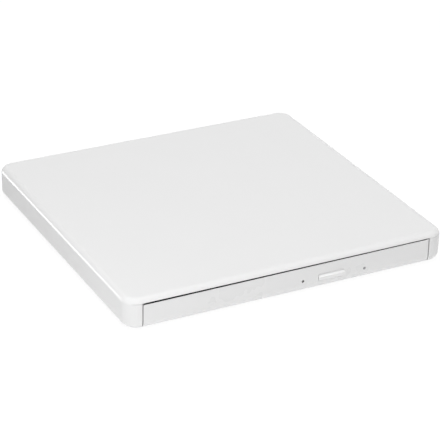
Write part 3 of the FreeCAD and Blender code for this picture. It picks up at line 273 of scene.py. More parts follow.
def level_band(level, half, start, end):
    """A band round the height Level, Half wide to each side, that fades in from Start Y to End Y."""
    def build(tree, given):
        axes = node(tree, "ShaderNodeSeparateXYZ", {0: given["Vector"]}).outputs
        off = calc(tree, "ABSOLUTE", calc(tree, "SUBTRACT", axes[2], given["Level"]))
        full = calc(tree, "MULTIPLY", given["Half"], 0.4)
        inside = fading(tree, off, given["Half"], full)
        within = fading(tree, axes[1], given["Start Y"], given["End Y"])
        return [calc(tree, "MULTIPLY", inside, within)]
    values = {"Level": level, "Half": half, "Start Y": start, "End Y": end}
    return effect("Level Band", values, build, ["Share"])


def finish(name, colour, roughness, pattern, depth, tone=0.05, wander=0.05, patch=0.02, **plain):
    """A material whose colour, gloss and relief follow one effect. depth is the relief in metres, tone
    the share that the colour varies, wander how much the roughness does, and patch the size of the
    smudges."""
    material = bpy.data.materials.new(name)
    material.use_nodes = True
    tree = material.node_tree
    tree.nodes.clear()
    place = tree.nodes.new("ShaderNodeTexCoord").outputs["Object"]
    grain = placed(tree, place, pattern)
    dull = placed(tree, place, smudges(patch))
    dark = [c * (1 - tone) for c in colour]
    light = [min(1.0, c * (1 + tone)) for c in colour]
    shader = node(tree, "ShaderNodeBsdfPrincipled", {
        "Base Color": mixed(tree, grain["Tone"], dark, light),
        "Roughness": between(tree, dull["Tone"], max(0.02, roughness - wander), roughness + wander),
    })
    relief = node(tree, "ShaderNodeBump", {"Height": grain["Height"], "Distance": depth})
    tree.links.new(relief.outputs[0], shader.inputs["Normal"])
    for key, value in plain.items():
        shader.inputs[key.replace("_", " ")].default_value = value
    end = node(tree, "ShaderNodeOutputMaterial", {"Surface": shader.outputs[0]})
    end.is_active_output = True
    return material


def only(tree, kind):
    """The one node of its kind in a tree."""
    return next(n for n in tree.nodes if n.type == kind)


def parts_of(material):
    """The tree, the shader and the object coordinates of a material made by finish."""
    tree = material.node_tree
    return tree, only(tree, "BSDF_PRINCIPLED"), only(tree, "TEX_COORD").outputs["Object"]


def source_of(socket):
    """The socket that an input is linked from."""
    return socket.links[0].from_socket


def recolour(tree, share, colour):
    """Mixes a share of another colour into a material's colour."""
    base = only(tree, "BSDF_PRINCIPLED").inputs["Base Color"]
    tree.links.new(mixed(tree, share, source_of(base), colour), base)


def raise_relief(tree, mask, height):
    """Adds a mask, times a height, to a material's relief."""
    relief = only(tree, "BUMP").inputs["Height"]
    tree.links.new(calc(tree, "MULTIPLY_ADD", mask, height, source_of(relief)), relief)


def banded(material, band, strength, colour):
    """Paints a level band of another colour into a material: here painted shade and a painted highlight."""
    tree, _, place = parts_of(material)
    share = placed(tree, place, level_band(*band))["Share"]
    recolour(tree, calc(tree, "MULTIPLY", share, strength), colour)


def dress(material, *names):
    """Gives CAD nodes a material."""
    for name in names:
        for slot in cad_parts[name].material_slots:
            slot.material = material


# Mesh helpers

def grid_faces(rows, columns):
    """Quads of a grid whose last column joins its first, as (rows - 1) * columns faces."""
    row = np.arange(rows - 1)[:, None] * columns
    here = np.arange(columns)[None, :]
    beside = (here + 1) % columns
    corners = (row + here, row + beside, row + columns + beside, row + columns + here)
    return np.stack([c.ravel() for c in corners], axis=1)


def piece(name, points, faces, material, body, slot_name, smooth=True):
    """A mesh from arrays in metres, riding on a body. Its normals are made to point outwards."""
    mesh = bpy.data.meshes.new(name)
    mesh.from_pydata(np.asarray(points, float).tolist(), [], [list(map(int, f)) for f in faces])
    mesh.polygons.foreach_set("use_smooth", np.full(len(mesh.polygons), smooth))
    mesh.materials.append(material)
    made = bpy.data.objects.new(name, mesh)
    bpy.context.scene.collection.objects.link(made)
    work = bmesh.new()
    work.from_mesh(mesh)
    bmesh.ops.recalc_face_normals(work, faces=work.faces)
    work.to_mesh(mesh)
    work.free()
    if body:
        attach(made, body)
    return made


def tube(path, radius, upright, sides=8):
    """A round tube: each path point carries a circle across the path's tangent. upright is a
    direction that the path never follows. The ends are closed with a flat cap."""
    path = np.asarray(path, float)
    tangent = np.gradient(path, axis=0)
    tangent /= np.linalg.norm(tangent, axis=1)[:, None]
    side = np.cross(tangent, upright)
    side /= np.linalg.norm(side, axis=1)[:, None]
    over = np.cross(side, tangent)
    turn = np.linspace(0, 2 * math.pi, sides, endpoint=False)
    ring = np.cos(turn)[None, :, None] * side[:, None, :] + np.sin(turn)[None, :, None] * over[:, None, :]
    points = (path[:, None, :] + radius * ring).reshape(-1, 3)
    faces = grid_faces(len(path), sides).tolist()
    last = (len(path) - 1) * sides
    faces.append(list(range(sides)))
    faces.append([last + i for i in range(sides)])
    return points, faces


def gathered(shapes):
    """Several shapes, each points and faces, as one."""
    points, faces, start = [], [], 0
    for some, theirs in shapes:
        points.append(some)
        faces += [[start + i for i in face] for face in theirs]
        start += len(some)
    return np.vstack(points), faces


def chamfered(size, edge):
    """A block with all its edges cut: each of its 8 corners becomes 3 points, one on each face. A
    corner's number is the sum of the axes' steps, 4, 2 and 1, on whose high side it lies."""
    signs = np.array([[x, y, z] for x in (-1, 1) for y in (-1, 1) for z in (-1, 1)], float)
    pulled = np.asarray(size, float) / 2 - edge * (1 - np.eye(3))
    points = (signs[:, None, :] * pulled[None, :, :]).reshape(-1, 3)
    faces = [[3 * i, 3 * i + 1, 3 * i + 2] for i in range(8)]
    steps = (4, 2, 1)
    for axis, step in enumerate(steps):
        a, b = [k for k in range(3) if k != axis]
        p, q = steps[a], steps[b]
        for low in (0, step):
            faces.append([3 * (low + i) + axis for i in (0, p, p + q, q)])
        for i in (0, q, p, p + q):
            j = i + step
            faces.append([3 * i + a, 3 * i + b, 3 * j + b, 3 * j + a])
    return points, faces


def repeated(shape, spots, turns=None):
    """A shape at many spots, each turned by an angle about the upright axis."""
    points, faces = shape
    turns = np.zeros(len(spots)) if turns is None else np.asarray(turns, float)
    cos, sin = np.cos(turns)[:, None], np.sin(turns)[:, None]
    x = cos * points[None, :, 0] - sin * points[None, :, 1]
    y = sin * points[None, :, 0] + cos * points[None, :, 1]
    z = np.broadcast_to(points[None, :, 2], x.shape)
    placed = np.stack([x, y, z], axis=2) + np.asarray(spots, float)[:, None, :]
    count = len(points)
    all_faces = [[k * count + i for i in face] for k in range(len(spots)) for face in faces]
    return placed.reshape(-1, 3), all_faces


def winding(half, rounding, length, turns, per_turn=24):
    """A coil of wire round the x axis: a rounded rectangle of half sizes (y, z) that moves along x
    by length in the given turns. Its points are the sum of a rectangle, which is a steep wave cut off
    at 1, and a corner circle."""
    turn = np.linspace(0, 2 * math.pi * turns, turns * per_turn + 1)
    wave = np.stack([np.cos(turn), np.sin(turn)], axis=1)
    steepness = 1.9
    square = np.clip(wave * steepness, -1.0, 1.0)
    inner = np.asarray(half, float) - rounding
    flat = square * inner + wave * rounding
    x = np.linspace(-length / 2, length / 2, len(turn))
    return np.column_stack([x, flat])


def on_unit(u, v, z):
    """A point of the optical unit, from its own u and v and its height in millimetres, in metres."""
    x = np.cos(UNIT_TURN) * u - np.sin(UNIT_TURN) * v
    y = np.sin(UNIT_TURN) * u + np.cos(UNIT_TURN) * v + SPINDLE_Y
    return np.stack(np.broadcast_arrays(x, y, z), axis=-1) * MM


# Operators

class DiscDriveStep:
    """What every step shares: it runs once and can be undone."""
    bl_options = {"REGISTER", "UNDO"}


# Painted shade: a fine dark line in the shell's colour, where the rounded brow meets the sides of both
# front corners, running on from the gap's upper ends, with no groove in the shape: its height, half its
# width and the y from and to which it fades in, all in metres, and how much it darkens the shell
PAINTED_CREASE_SHADE = (0.01185, 0.00034, -0.0662, -0.0675)
CREASE_SHADE_SHARE = 0.13
# Painted highlight: a pale band on the button's ridge, where light catches it, in the same way but at its
# full all along, and how much it pales the plastic
PAINTED_RIDGE_HIGHLIGHT = (0.00628, 0.00052, 1.0, 0.0)
RIDGE_HIGHLIGHT_SHARE = 0.85
BLACK = (0.0, 0.0, 0.0)
WHITE = (1.0, 1.0, 1.0)


class DISCDRIVE_OT_finish_case(DiscDriveStep, bpy.types.Operator):
    """Satin white plastic for the case, the tray front and the button, with painted shade along the case's
    front corners and a painted highlight on the button's ridge, and the dark seal, which also paints shade
    into the gap
    """
    bl_idname = "disc_drive.finish_case"
    bl_label = "Finish Case"

    def execute(self, context):
        case = context.scene.disc_drive_case
        colour = tuple(case.shell_colour)
        depth = case.grain_depth
        shell = finish("white shell", colour, case.shell_roughness, moulded_grain(case.grain_size),
                       depth=depth, tone=0.008, wander=0.03, patch=0.05, IOR=1.49)
        front = finish("white front", colour, case.shell_roughness - 0.02, moulded_grain(case.grain_size),
                       depth=depth, tone=0.008, wander=0.03, patch=0.04, IOR=1.49)
        button = finish("white button", colour, case.shell_roughness - 0.08,
                        moulded_grain(case.grain_size * 0.7), depth=depth * 0.5, tone=0.006, wander=0.02,
                        IOR=1.49)
        # The seal is near black: partly a real foam seal, partly painted shade that darkens the gap between
        # the top cover and the bezel
        foam = finish("seal foam and gap shade", (0.012, 0.012, 0.012), 0.95, pores(0.0003), depth=0.0001, tone=0.4)
        # Painted shade: a dark line in the shell's colour round both front corners
        banded(shell, PAINTED_CREASE_SHADE, CREASE_SHADE_SHARE, BLACK)
        # Painted highlight: a pale band in the button's colour along its ridge
        banded(button, PAINTED_RIDGE_HIGHLIGHT, RIDGE_HIGHLIGHT_SHARE, WHITE)
        dress(shell, "top_cover", "bottom_cover")
        dress(front, "bezel")
        dress(button, "eject_button")
        dress(foam, "front_seal")
        return {"FINISHED"}


class DISCDRIVE_OT_finish_light(DiscDriveStep, bpy.types.Operator):
    """Smoked plastic for the light pin and pale plastic for the lamp behind it"""
    bl_idname = "disc_drive.finish_light"
    bl_label = "Finish Light"

    def execute(self, context):
        case = context.scene.disc_drive_case
        pin = finish("smoked light pin", tuple(case.light_colour), 0.22, moulded_grain(0.0004),
                     depth=0.000002, tone=0.1, Coat_Weight=0.5, Coat_Roughness=0.1)
        lamp = finish("lamp body", (0.50, 0.56, 0.42), 0.2, moulded_grain(0.0006), depth=0.000004,
                      tone=0.12, Coat_Weight=0.6)
        dress(pin, "activity_light")
        dress(lamp, "status_led")
        return {"FINISHED"}


class DISCDRIVE_OT_finish_feet(DiscDriveStep, bpy.types.Operator):
    """Soft rubber for the feet and plating for all screws"""
    bl_idname = "disc_drive.finish_feet"
    bl_label = "Finish Feet and Screws"

    def execute(self, context):
        case = context.scene.disc_drive_case
        rubber = finish("foot rubber", tuple(case.foot_colour), 0.75, pores(0.00035), depth=0.00001,
                        tone=0.08, wander=0.08, patch=0.004)
        screw = finish("screw steel", (0.42, 0.42, 0.44), 0.32, spangle(0.0005), depth=0.000004,
                       tone=0.18, wander=0.1, patch=0.002, Metallic=1.0)
        dress(rubber, "rubber_feet")
        dress(screw, "case_screws", "lid_screws", "drive_screws", "tray_screws", "damper_screws")
        return {"FINISHED"}


class DISCDRIVE_OT_finish_metalwork(DiscDriveStep, bpy.types.Operator):
    """Zinc plated sheet for the pan, the lid and the tray's bottom, rolled strip for the rails"""
    bl_idname = "disc_drive.finish_metalwork"
    bl_label = "Finish Metalwork"

    def execute(self, context):
        colour = tuple(context.scene.disc_drive_inside.sheet_colour)
        sheet = finish("sheet steel", colour, 0.34, spangle(0.0034), depth=0.000006, tone=0.07,
                       wander=0.07, patch=0.012, Metallic=1.0)
        strip = finish("rail steel", (0.50, 0.51, 0.52), 0.26, drawn_lines(9000.0, 60.0, 9000.0),
                       depth=0.000004, tone=0.14, wander=0.06, Metallic=1.0)
        acetal = finish("guide plastic", (0.78, 0.77, 0.72), 0.42, moulded_grain(0.0005), depth=0.000004,
                        tone=0.04, Subsurface_Weight=0.08, Subsurface_Scale=0.001)
        dress(sheet, "drive_chassis", "drive_lid", "tray_bottom_plate")
        dress(strip, "left_rail", "right_rail")
        dress(acetal, "rail_guides")
        return {"FINISHED"}


class DISCDRIVE_OT_finish_tray(DiscDriveStep, bpy.types.Operator):
    """Fine textured black plastic for the tray and brushed metal for its deck"""
    bl_idname = "disc_drive.finish_tray"
    bl_label = "Finish Tray"

    def execute(self, context):
        inside = context.scene.disc_drive_inside
        black = finish("tray plastic", tuple(inside.tray_colour), 0.52, moulded_grain(0.00038),
                       depth=0.000022, tone=0.16, wander=0.09, patch=0.012, IOR=1.52)
        deck = finish("deck metal", tuple(inside.deck_colour), 0.30, drawn_lines(90.0, 7500.0, 7500.0),
                      depth=0.000004, tone=0.12, wander=0.05, Metallic=1.0)
        dress(black, "tray")
        dress(deck, "deck_cover")
        return {"FINISHED"}


# Board tracks run as a net. In metres: length and width of its openings and half the width of a track.
# Then how many times lighter the mask is over them, and how many depths of the grain they stand up.
NET_LENGTH = 0.0046
NET_WIDTH = 0.00055
TRACK_HALF = 0.00009
TRACK_LIGHTER = 2.3
TRACK_RISE = 6.0
# Pads: how many in a metre, their radius as a share of the step between them, and their tin's colour
PADS_IN_METRE = 420.0
PAD_REACH = 0.11
PAD_COLOUR = (0.55, 0.50, 0.38)


class DISCDRIVE_OT_finish_boards(DiscDriveStep, bpy.types.Operator):
    """Green boards with tracks, chips, plugs and the socket at the back"""
    bl_idname = "disc_drive.finish_boards"
    bl_label = "Finish Boards and Sockets"

    def execute(self, context):
        board = self.board(tuple(context.scene.disc_drive_inside.board_colour))
        chip = finish("chip plastic", (0.020, 0.020, 0.021), 0.5, moulded_grain(0.00015), depth=0.000008,
                      tone=0.2, wander=0.06, patch=0.004)
        plug = finish("connector plastic", (0.028, 0.028, 0.030), 0.36, moulded_grain(0.0004),
                      depth=0.000004, tone=0.12)
        plated = finish("plated steel", (0.60, 0.60, 0.61), 0.2, drawn_lines(500.0, 6500.0, 500.0),
                        depth=0.000003, tone=0.07, wander=0.08, patch=0.003, Metallic=1.0)
        dress(board, "main_board", "bridge_board", "button_board")
        dress(chip, "main_chips", "bridge_chips", "button_switch")
        dress(plug, "sata_plug", "sata_receptacle", "usb_insert")
        dress(plated, "usb_shell")
        return {"FINISHED"}

    def board(self, green):
        """Solder mask over raised tracks, with small pads."""
        made = finish("circuit board", green, 0.28, moulded_grain(0.0004), depth=0.000003, tone=0.08,
                      Coat_Weight=0.3)
        tree, _, place = parts_of(made)
        net = node(tree, "ShaderNodeTexBrick", {
            "Vector": place, "Scale": 1.0, "Color1": (1, 1, 1, 1), "Color2": (1, 1, 1, 1),
            "Mortar": (0, 0, 0, 1), "Mortar Size": TRACK_HALF, "Mortar Smooth": 0.2,
            "Brick Width": NET_LENGTH, "Row Height": NET_WIDTH,
        }, offset=0.37, squash=0.6, squash_frequency=3).outputs["Fac"]
        spots = node(tree, "ShaderNodeTexVoronoi", {"Vector": place, "Scale": PADS_IN_METRE,
                                                    "Randomness": 0.7}).outputs["Distance"]
        recolour(tree, net, [min(1.0, c * TRACK_LIGHTER + 0.01) for c in green])
        recolour(tree, calc(tree, "LESS_THAN", spots, PAD_REACH), PAD_COLOUR)
        raise_relief(tree, net, TRACK_RISE)
        return made


# A small part in millimetres: its length, width and height, how much shorter its body is, the length of
# the cap at each end, how much bigger the caps are, and the cut edges of both
PART_SIZE = (1.0, 0.5, 0.45)
BODY_SHORTER = 0.3
CAP_LENGTH = 0.22
CAP_BIGGER = 0.04
BODY_EDGE = 0.03
CAP_EDGE = 0.04
# Rows of small parts: first x, y and z, step in x and y, how many, and if turned. Those in front of the
# middle ride on the tray.
PART_ROWS = (
    ((-30.0, 48.0, 4.1), (2.2, 0.0), 12, True), ((-30.0, 50.6, 4.1), (2.2, 0.0), 9, True),
    ((19.6, 43.0, 4.1), (0.0, 1.5), 8, False), ((31.0, 45.0, 4.1), (0.0, 1.5), 7, False),
    ((33.4, 45.0, 4.1), (0.0, 1.5), 7, False), ((-54.6, 46.0, 4.1), (0.0, 1.4), 6, False),
    ((-35.4, 44.6, 4.1), (0.0, 1.4), 5, False), ((22.0, 44.2, 4.1), (1.6, 0.0), 5, True),
    ((-41.6, 60.6, 4.2), (0.0, 1.3), 4, False), ((0.2, 60.4, 4.2), (0.0, 1.2), 2, False),
    ((22.6, -62.6, 4.05), (1.5, 0.0), 6, True),
)
# A lead in millimetres: how far out and how high its path goes, half its width and thickness, and how
# far the outermost leads stay from a chip's corners
LEAD_OUT = (-0.05, 0.22, 0.34, 0.40, 0.50, 0.85)
LEAD_UP = (0.55, 0.55, 0.48, 0.16, 0.06, 0.05)
LEAD_HALF = (0.11, 0.05)
LEAD_FROM_CORNER = 0.7
# Chips with leads: middle x and y, foot z, half sizes to the sides with leads, leads on each side
LEADED = (
    ((11.0, 48.5, 4.1), (6.0, 6.0), (20, 20)), ((25.5, 49.5, 4.1), (3.5, 3.5), (11, 11)),
    ((-47.0, 49.0, 4.1), (3.0, 3.0), (8, 0)), ((5.0, 63.2, 4.2), (3.0, 3.0), (9, 0)),
    ((-36.1, 62.9, 4.2), (1.5, 2.5), (4, 0)),
)
# Solder tails of the drive's plug and of its socket: first x, y and z, how many, and the way out along y
TAILS = (
    ((-30.2, 52.8, 4.1), 7, -1), ((-15.6, 52.8, 4.1), 6, -1),
    ((-30.2, 64.6, 4.2), 7, 1), ((-15.6, 64.6, 4.2), 6, 1),
)
TAIL_STEP = 1.27
# Contact strips in the small socket: the middle one's middle, their size and the step between them
CONTACT_MIDDLE = (-48.15, 64.3, 6.34)
CONTACT_SIZE = (0.36, 5.02, 0.12)
CONTACT_STEP = 0.8
CONTACT_EDGE = 0.04


class DISCDRIVE_OT_add_board_parts(DiscDriveStep, bpy.types.Operator):
    """Small resistors and capacitors with tinned ends, bent leads, and the small socket's contacts"""
    bl_idname = "disc_drive.add_board_parts"
    bl_label = "Add Board Parts"

    def execute(self, context):
        ceramic = finish("part ceramic", (0.23, 0.17, 0.12), 0.4, moulded_grain(0.0001), depth=0.000003,
                         tone=0.3, wander=0.05, patch=0.002)
        tin = finish("tinned ends", (0.60, 0.60, 0.61), 0.3, spangle(0.00012), depth=0.000003, tone=0.1,
                     patch=0.001, Metallic=1.0)
        gilt = finish("contact plating", (0.62, 0.50, 0.27), 0.22, drawn_lines(9000.0, 300.0, 9000.0),
                      depth=0.000002, tone=0.08, patch=0.001, Metallic=1.0)
        self.small_parts(ceramic, tin)
        piece("chip_leads", *self.leads(), tin, "case", "plated_steel", False)
        self.contacts(gilt)
        return {"FINISHED"}

    def small_parts(self, ceramic, tin):
        """Blocks in rows, each with a slightly bigger cap at both ends."""
        long, wide, high = PART_SIZE
        body = chamfered(np.array([long - BODY_SHORTER, wide, high]) * MM, BODY_EDGE * MM)
        cap = np.array([CAP_LENGTH, wide + CAP_BIGGER, high + CAP_BIGGER]) * MM
        ends = [chamfered(cap, CAP_EDGE * MM) for _ in (0, 1)]
        for way, (points, _) in zip((-1, 1), ends):
            points[:, 0] += way * (long - CAP_LENGTH) / 2 * MM
        rows = {"case": ([], []), "tray": ([], [])}
        for first, step, count, turned in PART_ROWS:
            spots, turns = rows["tray" if first[1] < 0 else "case"]
            spots += [np.add(first, (step[0] * k, step[1] * k, high / 2)) * MM for k in range(count)]
            turns += [math.pi / 2 if turned else 0.0] * count
        for where, (spots, turns) in rows.items():
            bodies = repeated(body, spots, turns)
            caps = repeated(gathered(ends), spots, turns)
            piece(f"{where}_part_bodies", *bodies, ceramic, where, "chip_plastic", False)
            piece(f"{where}_part_ends", *caps, tin, where, "plated_steel", False)

    def lead(self):
        """A flat section carried along a path that leaves the chip, drops and runs out."""
        out, up = np.array(LEAD_OUT), np.array(LEAD_UP)
        section = np.array([[-1, -1], [1, -1], [1, 1], [-1, 1]]) * LEAD_HALF
        grid = (len(out), len(section))
        points = np.stack([np.broadcast_to(out[:, None], grid), np.broadcast_to(section[:, 0], grid),
                           up[:, None] + section[:, 1]], axis=2).reshape(-1, 3) * MM
        last = len(points) - len(section)
        ends = [[start + i for i in range(len(section))] for start in (0, last)]
        return points, grid_faces(*grid).tolist() + ends

    def leads(self):
        """Leads round the chips, and solder tails along the drive's plug and its socket."""
        spots, turns = [], []
        for middle, halves, counts in LEADED:
            for side in (0, 1):
                reach, span = halves[side], halves[1 - side] - LEAD_FROM_CORNER
                for way in (0, 1):
                    turn = (side / 2 + way) * math.pi
                    for offset in np.linspace(-span, span, counts[side]):
                        x = reach * math.cos(turn) - offset * math.sin(turn)
                        y = reach * math.sin(turn) + offset * math.cos(turn)
                        spots.append(np.add(middle, (x, y, 0.0)) * MM)
                        turns.append(turn)
        for first, count, way in TAILS:
            spots += [np.add(first, (k * TAIL_STEP, 0.0, 0.0)) * MM for k in range(count)]
            turns += [way * math.pi / 2] * count
        return repeated(self.lead(), spots, turns)

    def contacts(self, gilt):
        """Five flat strips with cut edges, side by side."""
        strip = chamfered(np.array(CONTACT_SIZE) * MM, CONTACT_EDGE * MM)
        spots = [np.add(CONTACT_MIDDLE, (k * CONTACT_STEP, 0.0, 0.0)) * MM for k in range(-2, 3)]
        piece("socket_contacts", *repeated(strip, spots), gilt, "case", "plated_steel", False)


# Ribbon tracks: from one to the next in metres, their share of that, how dark they are through the film,
# and how many depths of the grain they stand up
RIBBON_PITCH = 0.0005
RIBBON_SHARE = 0.55
RIBBON_DARKER = 0.55
RIBBON_RISE = 5.0


class DISCDRIVE_OT_finish_ribbon(DiscDriveStep, bpy.types.Operator):
    """Amber film with copper tracks for the three stretches of ribbon cable"""
    bl_idname = "disc_drive.finish_ribbon"
    bl_label = "Finish Ribbon Cable"

    def execute(self, context):
        colour = tuple(context.scene.disc_drive_inside.ribbon_colour)
        film = finish("ribbon film", colour, 0.24, moulded_grain(0.0012), depth=0.000003, tone=0.08,
                      Coat_Weight=0.4)
        tree, _, place = parts_of(film)
        x = node(tree, "ShaderNodeSeparateXYZ", {0: place}).outputs[0]
        across = calc(tree, "FRACT", calc(tree, "DIVIDE", x, RIBBON_PITCH))
        track = calc(tree, "LESS_THAN", across, RIBBON_SHARE)
        recolour(tree, track, [c * RIBBON_DARKER for c in colour])
        raise_relief(tree, track, RIBBON_RISE)
        dress(film, "flex_fixed_run", "flex_bend", "flex_moving_run")
        return {"FINISHED"}


# The release coil's winding: corner radius in millimetres, turns, how far the wire sinks in and how
# much shorter the winding is than the coil, both in wire radii
COIL_CORNER = 0.4
COIL_TURNS = 19
COIL_SUNK = 0.3
COIL_SHORTER = 5
# The ejector's spring: wire radius in millimetres, and points on each turn
SPRING_WIRE = 0.17
SPRING_POINTS = 28


class DISCDRIVE_OT_finish_latch(DiscDriveStep, bpy.types.Operator):
    """The latch lever, its pin and magnet, and the ejector with its spring"""
    bl_idname = "disc_drive.finish_latch"
    bl_label = "Finish Latch and Ejector"

    def execute(self, context):
        inside = context.scene.disc_drive_inside
        # The lever is dark: partly its own plastic, partly painted shade that darkens the eject pinhole in
        # front of it
        dark = finish("lever plastic and pinhole shade", (0.035, 0.035, 0.036), 0.45, moulded_grain(0.0004), depth=0.000008,
                      tone=0.15)
        pale = finish("ejector plastic", (0.74, 0.72, 0.66), 0.42, moulded_grain(0.0004), depth=0.000006,
                      tone=0.05, Subsurface_Weight=0.08, Subsurface_Scale=0.001)
        rod = finish("polished steel", (0.58, 0.58, 0.60), 0.1, drawn_lines(2600.0, 2600.0, 9000.0),
                     depth=0.0000012, tone=0.05, wander=0.04, Metallic=1.0)
        iron = finish("core iron", (0.25, 0.25, 0.26), 0.45, drawn_lines(200.0, 200.0, 5200.0),
                      depth=0.00001, tone=0.25, Metallic=1.0)
        wire = copper_wire(inside)
        steel = finish("spring steel", (0.50, 0.50, 0.51), 0.25, drawn_lines(4000.0, 900.0, 4000.0),
                       depth=0.000002, tone=0.12, Metallic=1.0)
        dress(dark, "latch_lever")
        dress(pale, "eject_pusher", "hub_claw_1", "hub_claw_2", "hub_claw_3")
        dress(rod, "latch_pin", "eject_guide_rod", "main_guide_rod", "side_guide_rod", "lead_screw")
        dress(iron, "latch_core")
        dress(wire, "latch_coil")
        self.winding(wire, inside.wire_radius)
        self.spring(steel, inside.spring_turns)
        return {"FINISHED"}

    def winding(self, wire, radius):
        """The outer layer of wire on the release coil: a rounded rectangle carried round the core."""
        low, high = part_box("latch_coil")
        size = high - low
        sunk = COIL_SUNK * radius
        path = winding((size.x / 2 - sunk, size.z / 2 - sunk), COIL_CORNER * MM,
                       size.y - COIL_SHORTER * radius, COIL_TURNS)
        placed = path[:, [1, 0, 2]] + np.array((low + high) / 2)
        piece("latch_winding", *tube(placed, radius, (0, 1, 0), 6), wire, "tray", "copper_winding")

    def spring(self, steel, turns):
        """A helix round the ejector's rod, as long as the spring's box."""
        low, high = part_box("eject_spring")
        wire = SPRING_WIRE * MM
        coil = (high.x - low.x) / 2 - wire
        middle = (low + high) / 2
        turn = np.linspace(0, 2 * math.pi * turns, turns * SPRING_POINTS + 1)
        y = np.linspace(low.y + wire, high.y - wire, len(turn))
        path = np.column_stack([middle.x + coil * np.cos(turn), y, middle.z + coil * np.sin(turn)])
        made = piece("ejector_spring", *tube(path, wire, (0, 1, 0), 8), steel, None, "spring_steel")
        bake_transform(made)
        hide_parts("eject_spring")


def copper_wire(inside):
    """Enamelled copper, shared by the windings."""
    found = bpy.data.materials.get("copper wire")
    return found or finish("copper wire", tuple(inside.copper_colour), 0.22,
                           drawn_lines(3000.0, 3000.0, 3000.0), depth=0.000002, tone=0.15, Metallic=0.9,
                           Coat_Weight=0.5, Coat_Roughness=0.15)


# The star: how many arms. Their coils in millimetres: how far out and how high the middle is, half
# sizes, corner radius, length, turns, and points on each turn
ARMS = 9
ARM_REACH = 7.1
ARM_Z = 5.2
ARM_HALF = (1.18, 1.04)
ARM_CORNER = 0.5
ARM_LENGTH = 2.7
ARM_TURNS = 11
ARM_POINTS = 20
# Rivet heads on the frame in millimetres: u and v of each, where they sit, radius and height
RIVET_SPOTS = ((-7.4, -14.6), (-7.4, 14.6), (-16.4, 0.0))
RIVET_Z = 5.7
RIVET_RADIUS = 1.3
RIVET_HEIGHT = 0.32


class DISCDRIVE_OT_finish_spindle(DiscDriveStep, bpy.types.Operator):
    """The motor that turns the disc: base, wound star, spun cup, grip ring and hub"""
    bl_idname = "disc_drive.finish_spindle"
    bl_label = "Finish Spindle"

    def execute(self, context):
        inside = context.scene.disc_drive_inside
        # The cup, the hub and the rivets carry the turned rings' painted sheen in their colour
        cup = finish("rotor steel", (0.52, 0.52, 0.54), 0.22, turned_rings_and_sheen(0.00012), depth=0.000003,
                     tone=0.14, wander=0.05, Metallic=1.0)
        grip = finish("ring rubber", (0.022, 0.022, 0.022), 0.72, pores(0.0002), depth=0.00001, tone=0.2)
        hub = finish("hub plastic", (0.024, 0.024, 0.026), 0.2, turned_rings_and_sheen(0.0004), depth=0.000003,
                     tone=0.12, Coat_Weight=0.3)
        stamped = finish("frame steel", (0.50, 0.51, 0.52), 0.33, drawn_lines(240.0, 5200.0, 5200.0),
                         depth=0.000004, tone=0.12, wander=0.07, Metallic=1.0)
        star = finish("stator iron", (0.22, 0.22, 0.23), 0.42, drawn_lines(150.0, 150.0, 8000.0),
                      depth=0.00001, tone=0.25, Metallic=1.0)
        dress(cup, "spindle_rotor", "feed_motor")
        dress(grip, "turntable_ring")
        dress(hub, "disc_hub")
        dress(stamped, "spindle_base", "traverse_frame", "pickup_cover")
        dress(star, "spindle_stator")
        rivet = finish("rivet steel", (0.58, 0.58, 0.59), 0.28, turned_rings_and_sheen(0.00012), depth=0.000003,
                       tone=0.1, Metallic=1.0)
        self.windings(copper_wire(inside), inside.wire_radius)
        self.rivets(rivet)
        return {"FINISHED"}

    def windings(self, wire, radius):
        """Coils of wire round the arms of the star, each a rounded rectangle carried outwards."""
        path = winding(np.array(ARM_HALF) * MM, ARM_CORNER * MM, ARM_LENGTH * MM, ARM_TURNS, ARM_POINTS)
        reach = path[:, 0] + ARM_REACH * MM
        shapes = []
        for i in range(ARMS):
            turn = UNIT_TURN + 2 * math.pi * i / ARMS
            x = reach * math.cos(turn) - path[:, 1] * math.sin(turn)
            y = reach * math.sin(turn) + path[:, 1] * math.cos(turn) + SPINDLE_Y * MM
            along = (math.cos(turn), math.sin(turn), 0.0)
            shapes.append(tube(np.column_stack([x, y, path[:, 2] + ARM_Z * MM]), radius, along, 6))
        piece("stator_winding", *gathered(shapes), wire, "tray", "copper_winding")

    def rivets(self, steel):
        """Domed rivet heads on the frame: a quarter ellipse turned about an upright axis."""
        spots = on_unit(*np.array(RIVET_SPOTS).T, RIVET_Z)
        rise = np.linspace(0, math.pi / 2, 7)[:-1]
        turn = np.linspace(0, 2 * math.pi, 20, endpoint=False)
        rim = np.cos(rise)[:, None] * RIVET_RADIUS
        level = np.broadcast_to(np.sin(rise)[:, None] * RIVET_HEIGHT, (len(rise), len(turn)))
        dome = np.stack([rim * np.cos(turn), rim * np.sin(turn), level], axis=2)
        points = np.vstack([dome.reshape(-1, 3), [[0.0, 0.0, RIVET_HEIGHT]]]) * MM
        faces = grid_faces(len(rise), len(turn)).tolist()
        last, top = (len(rise) - 1) * len(turn), len(points) - 1
        faces += [[last + i, last + (i + 1) % len(turn), top] for i in range(len(turn))]
        faces.append(list(range(len(turn))))
        piece("frame_rivets", *repeated((points, faces), spots), steel, "tray", "frame_steel")


class DISCDRIVE_OT_finish_traverse(DiscDriveStep, bpy.types.Operator):
    """The rubber mounts of the optical unit"""
    bl_idname = "disc_drive.finish_traverse"
    bl_label = "Finish Optical Unit"

    def execute(self, context):
        rubber = finish("damper rubber", (0.13, 0.13, 0.14), 0.7, pores(0.0003), depth=0.00001, tone=0.15,
                        wander=0.08, patch=0.002)
        dress(rubber, "traverse_dampers")
        return {"FINISHED"}


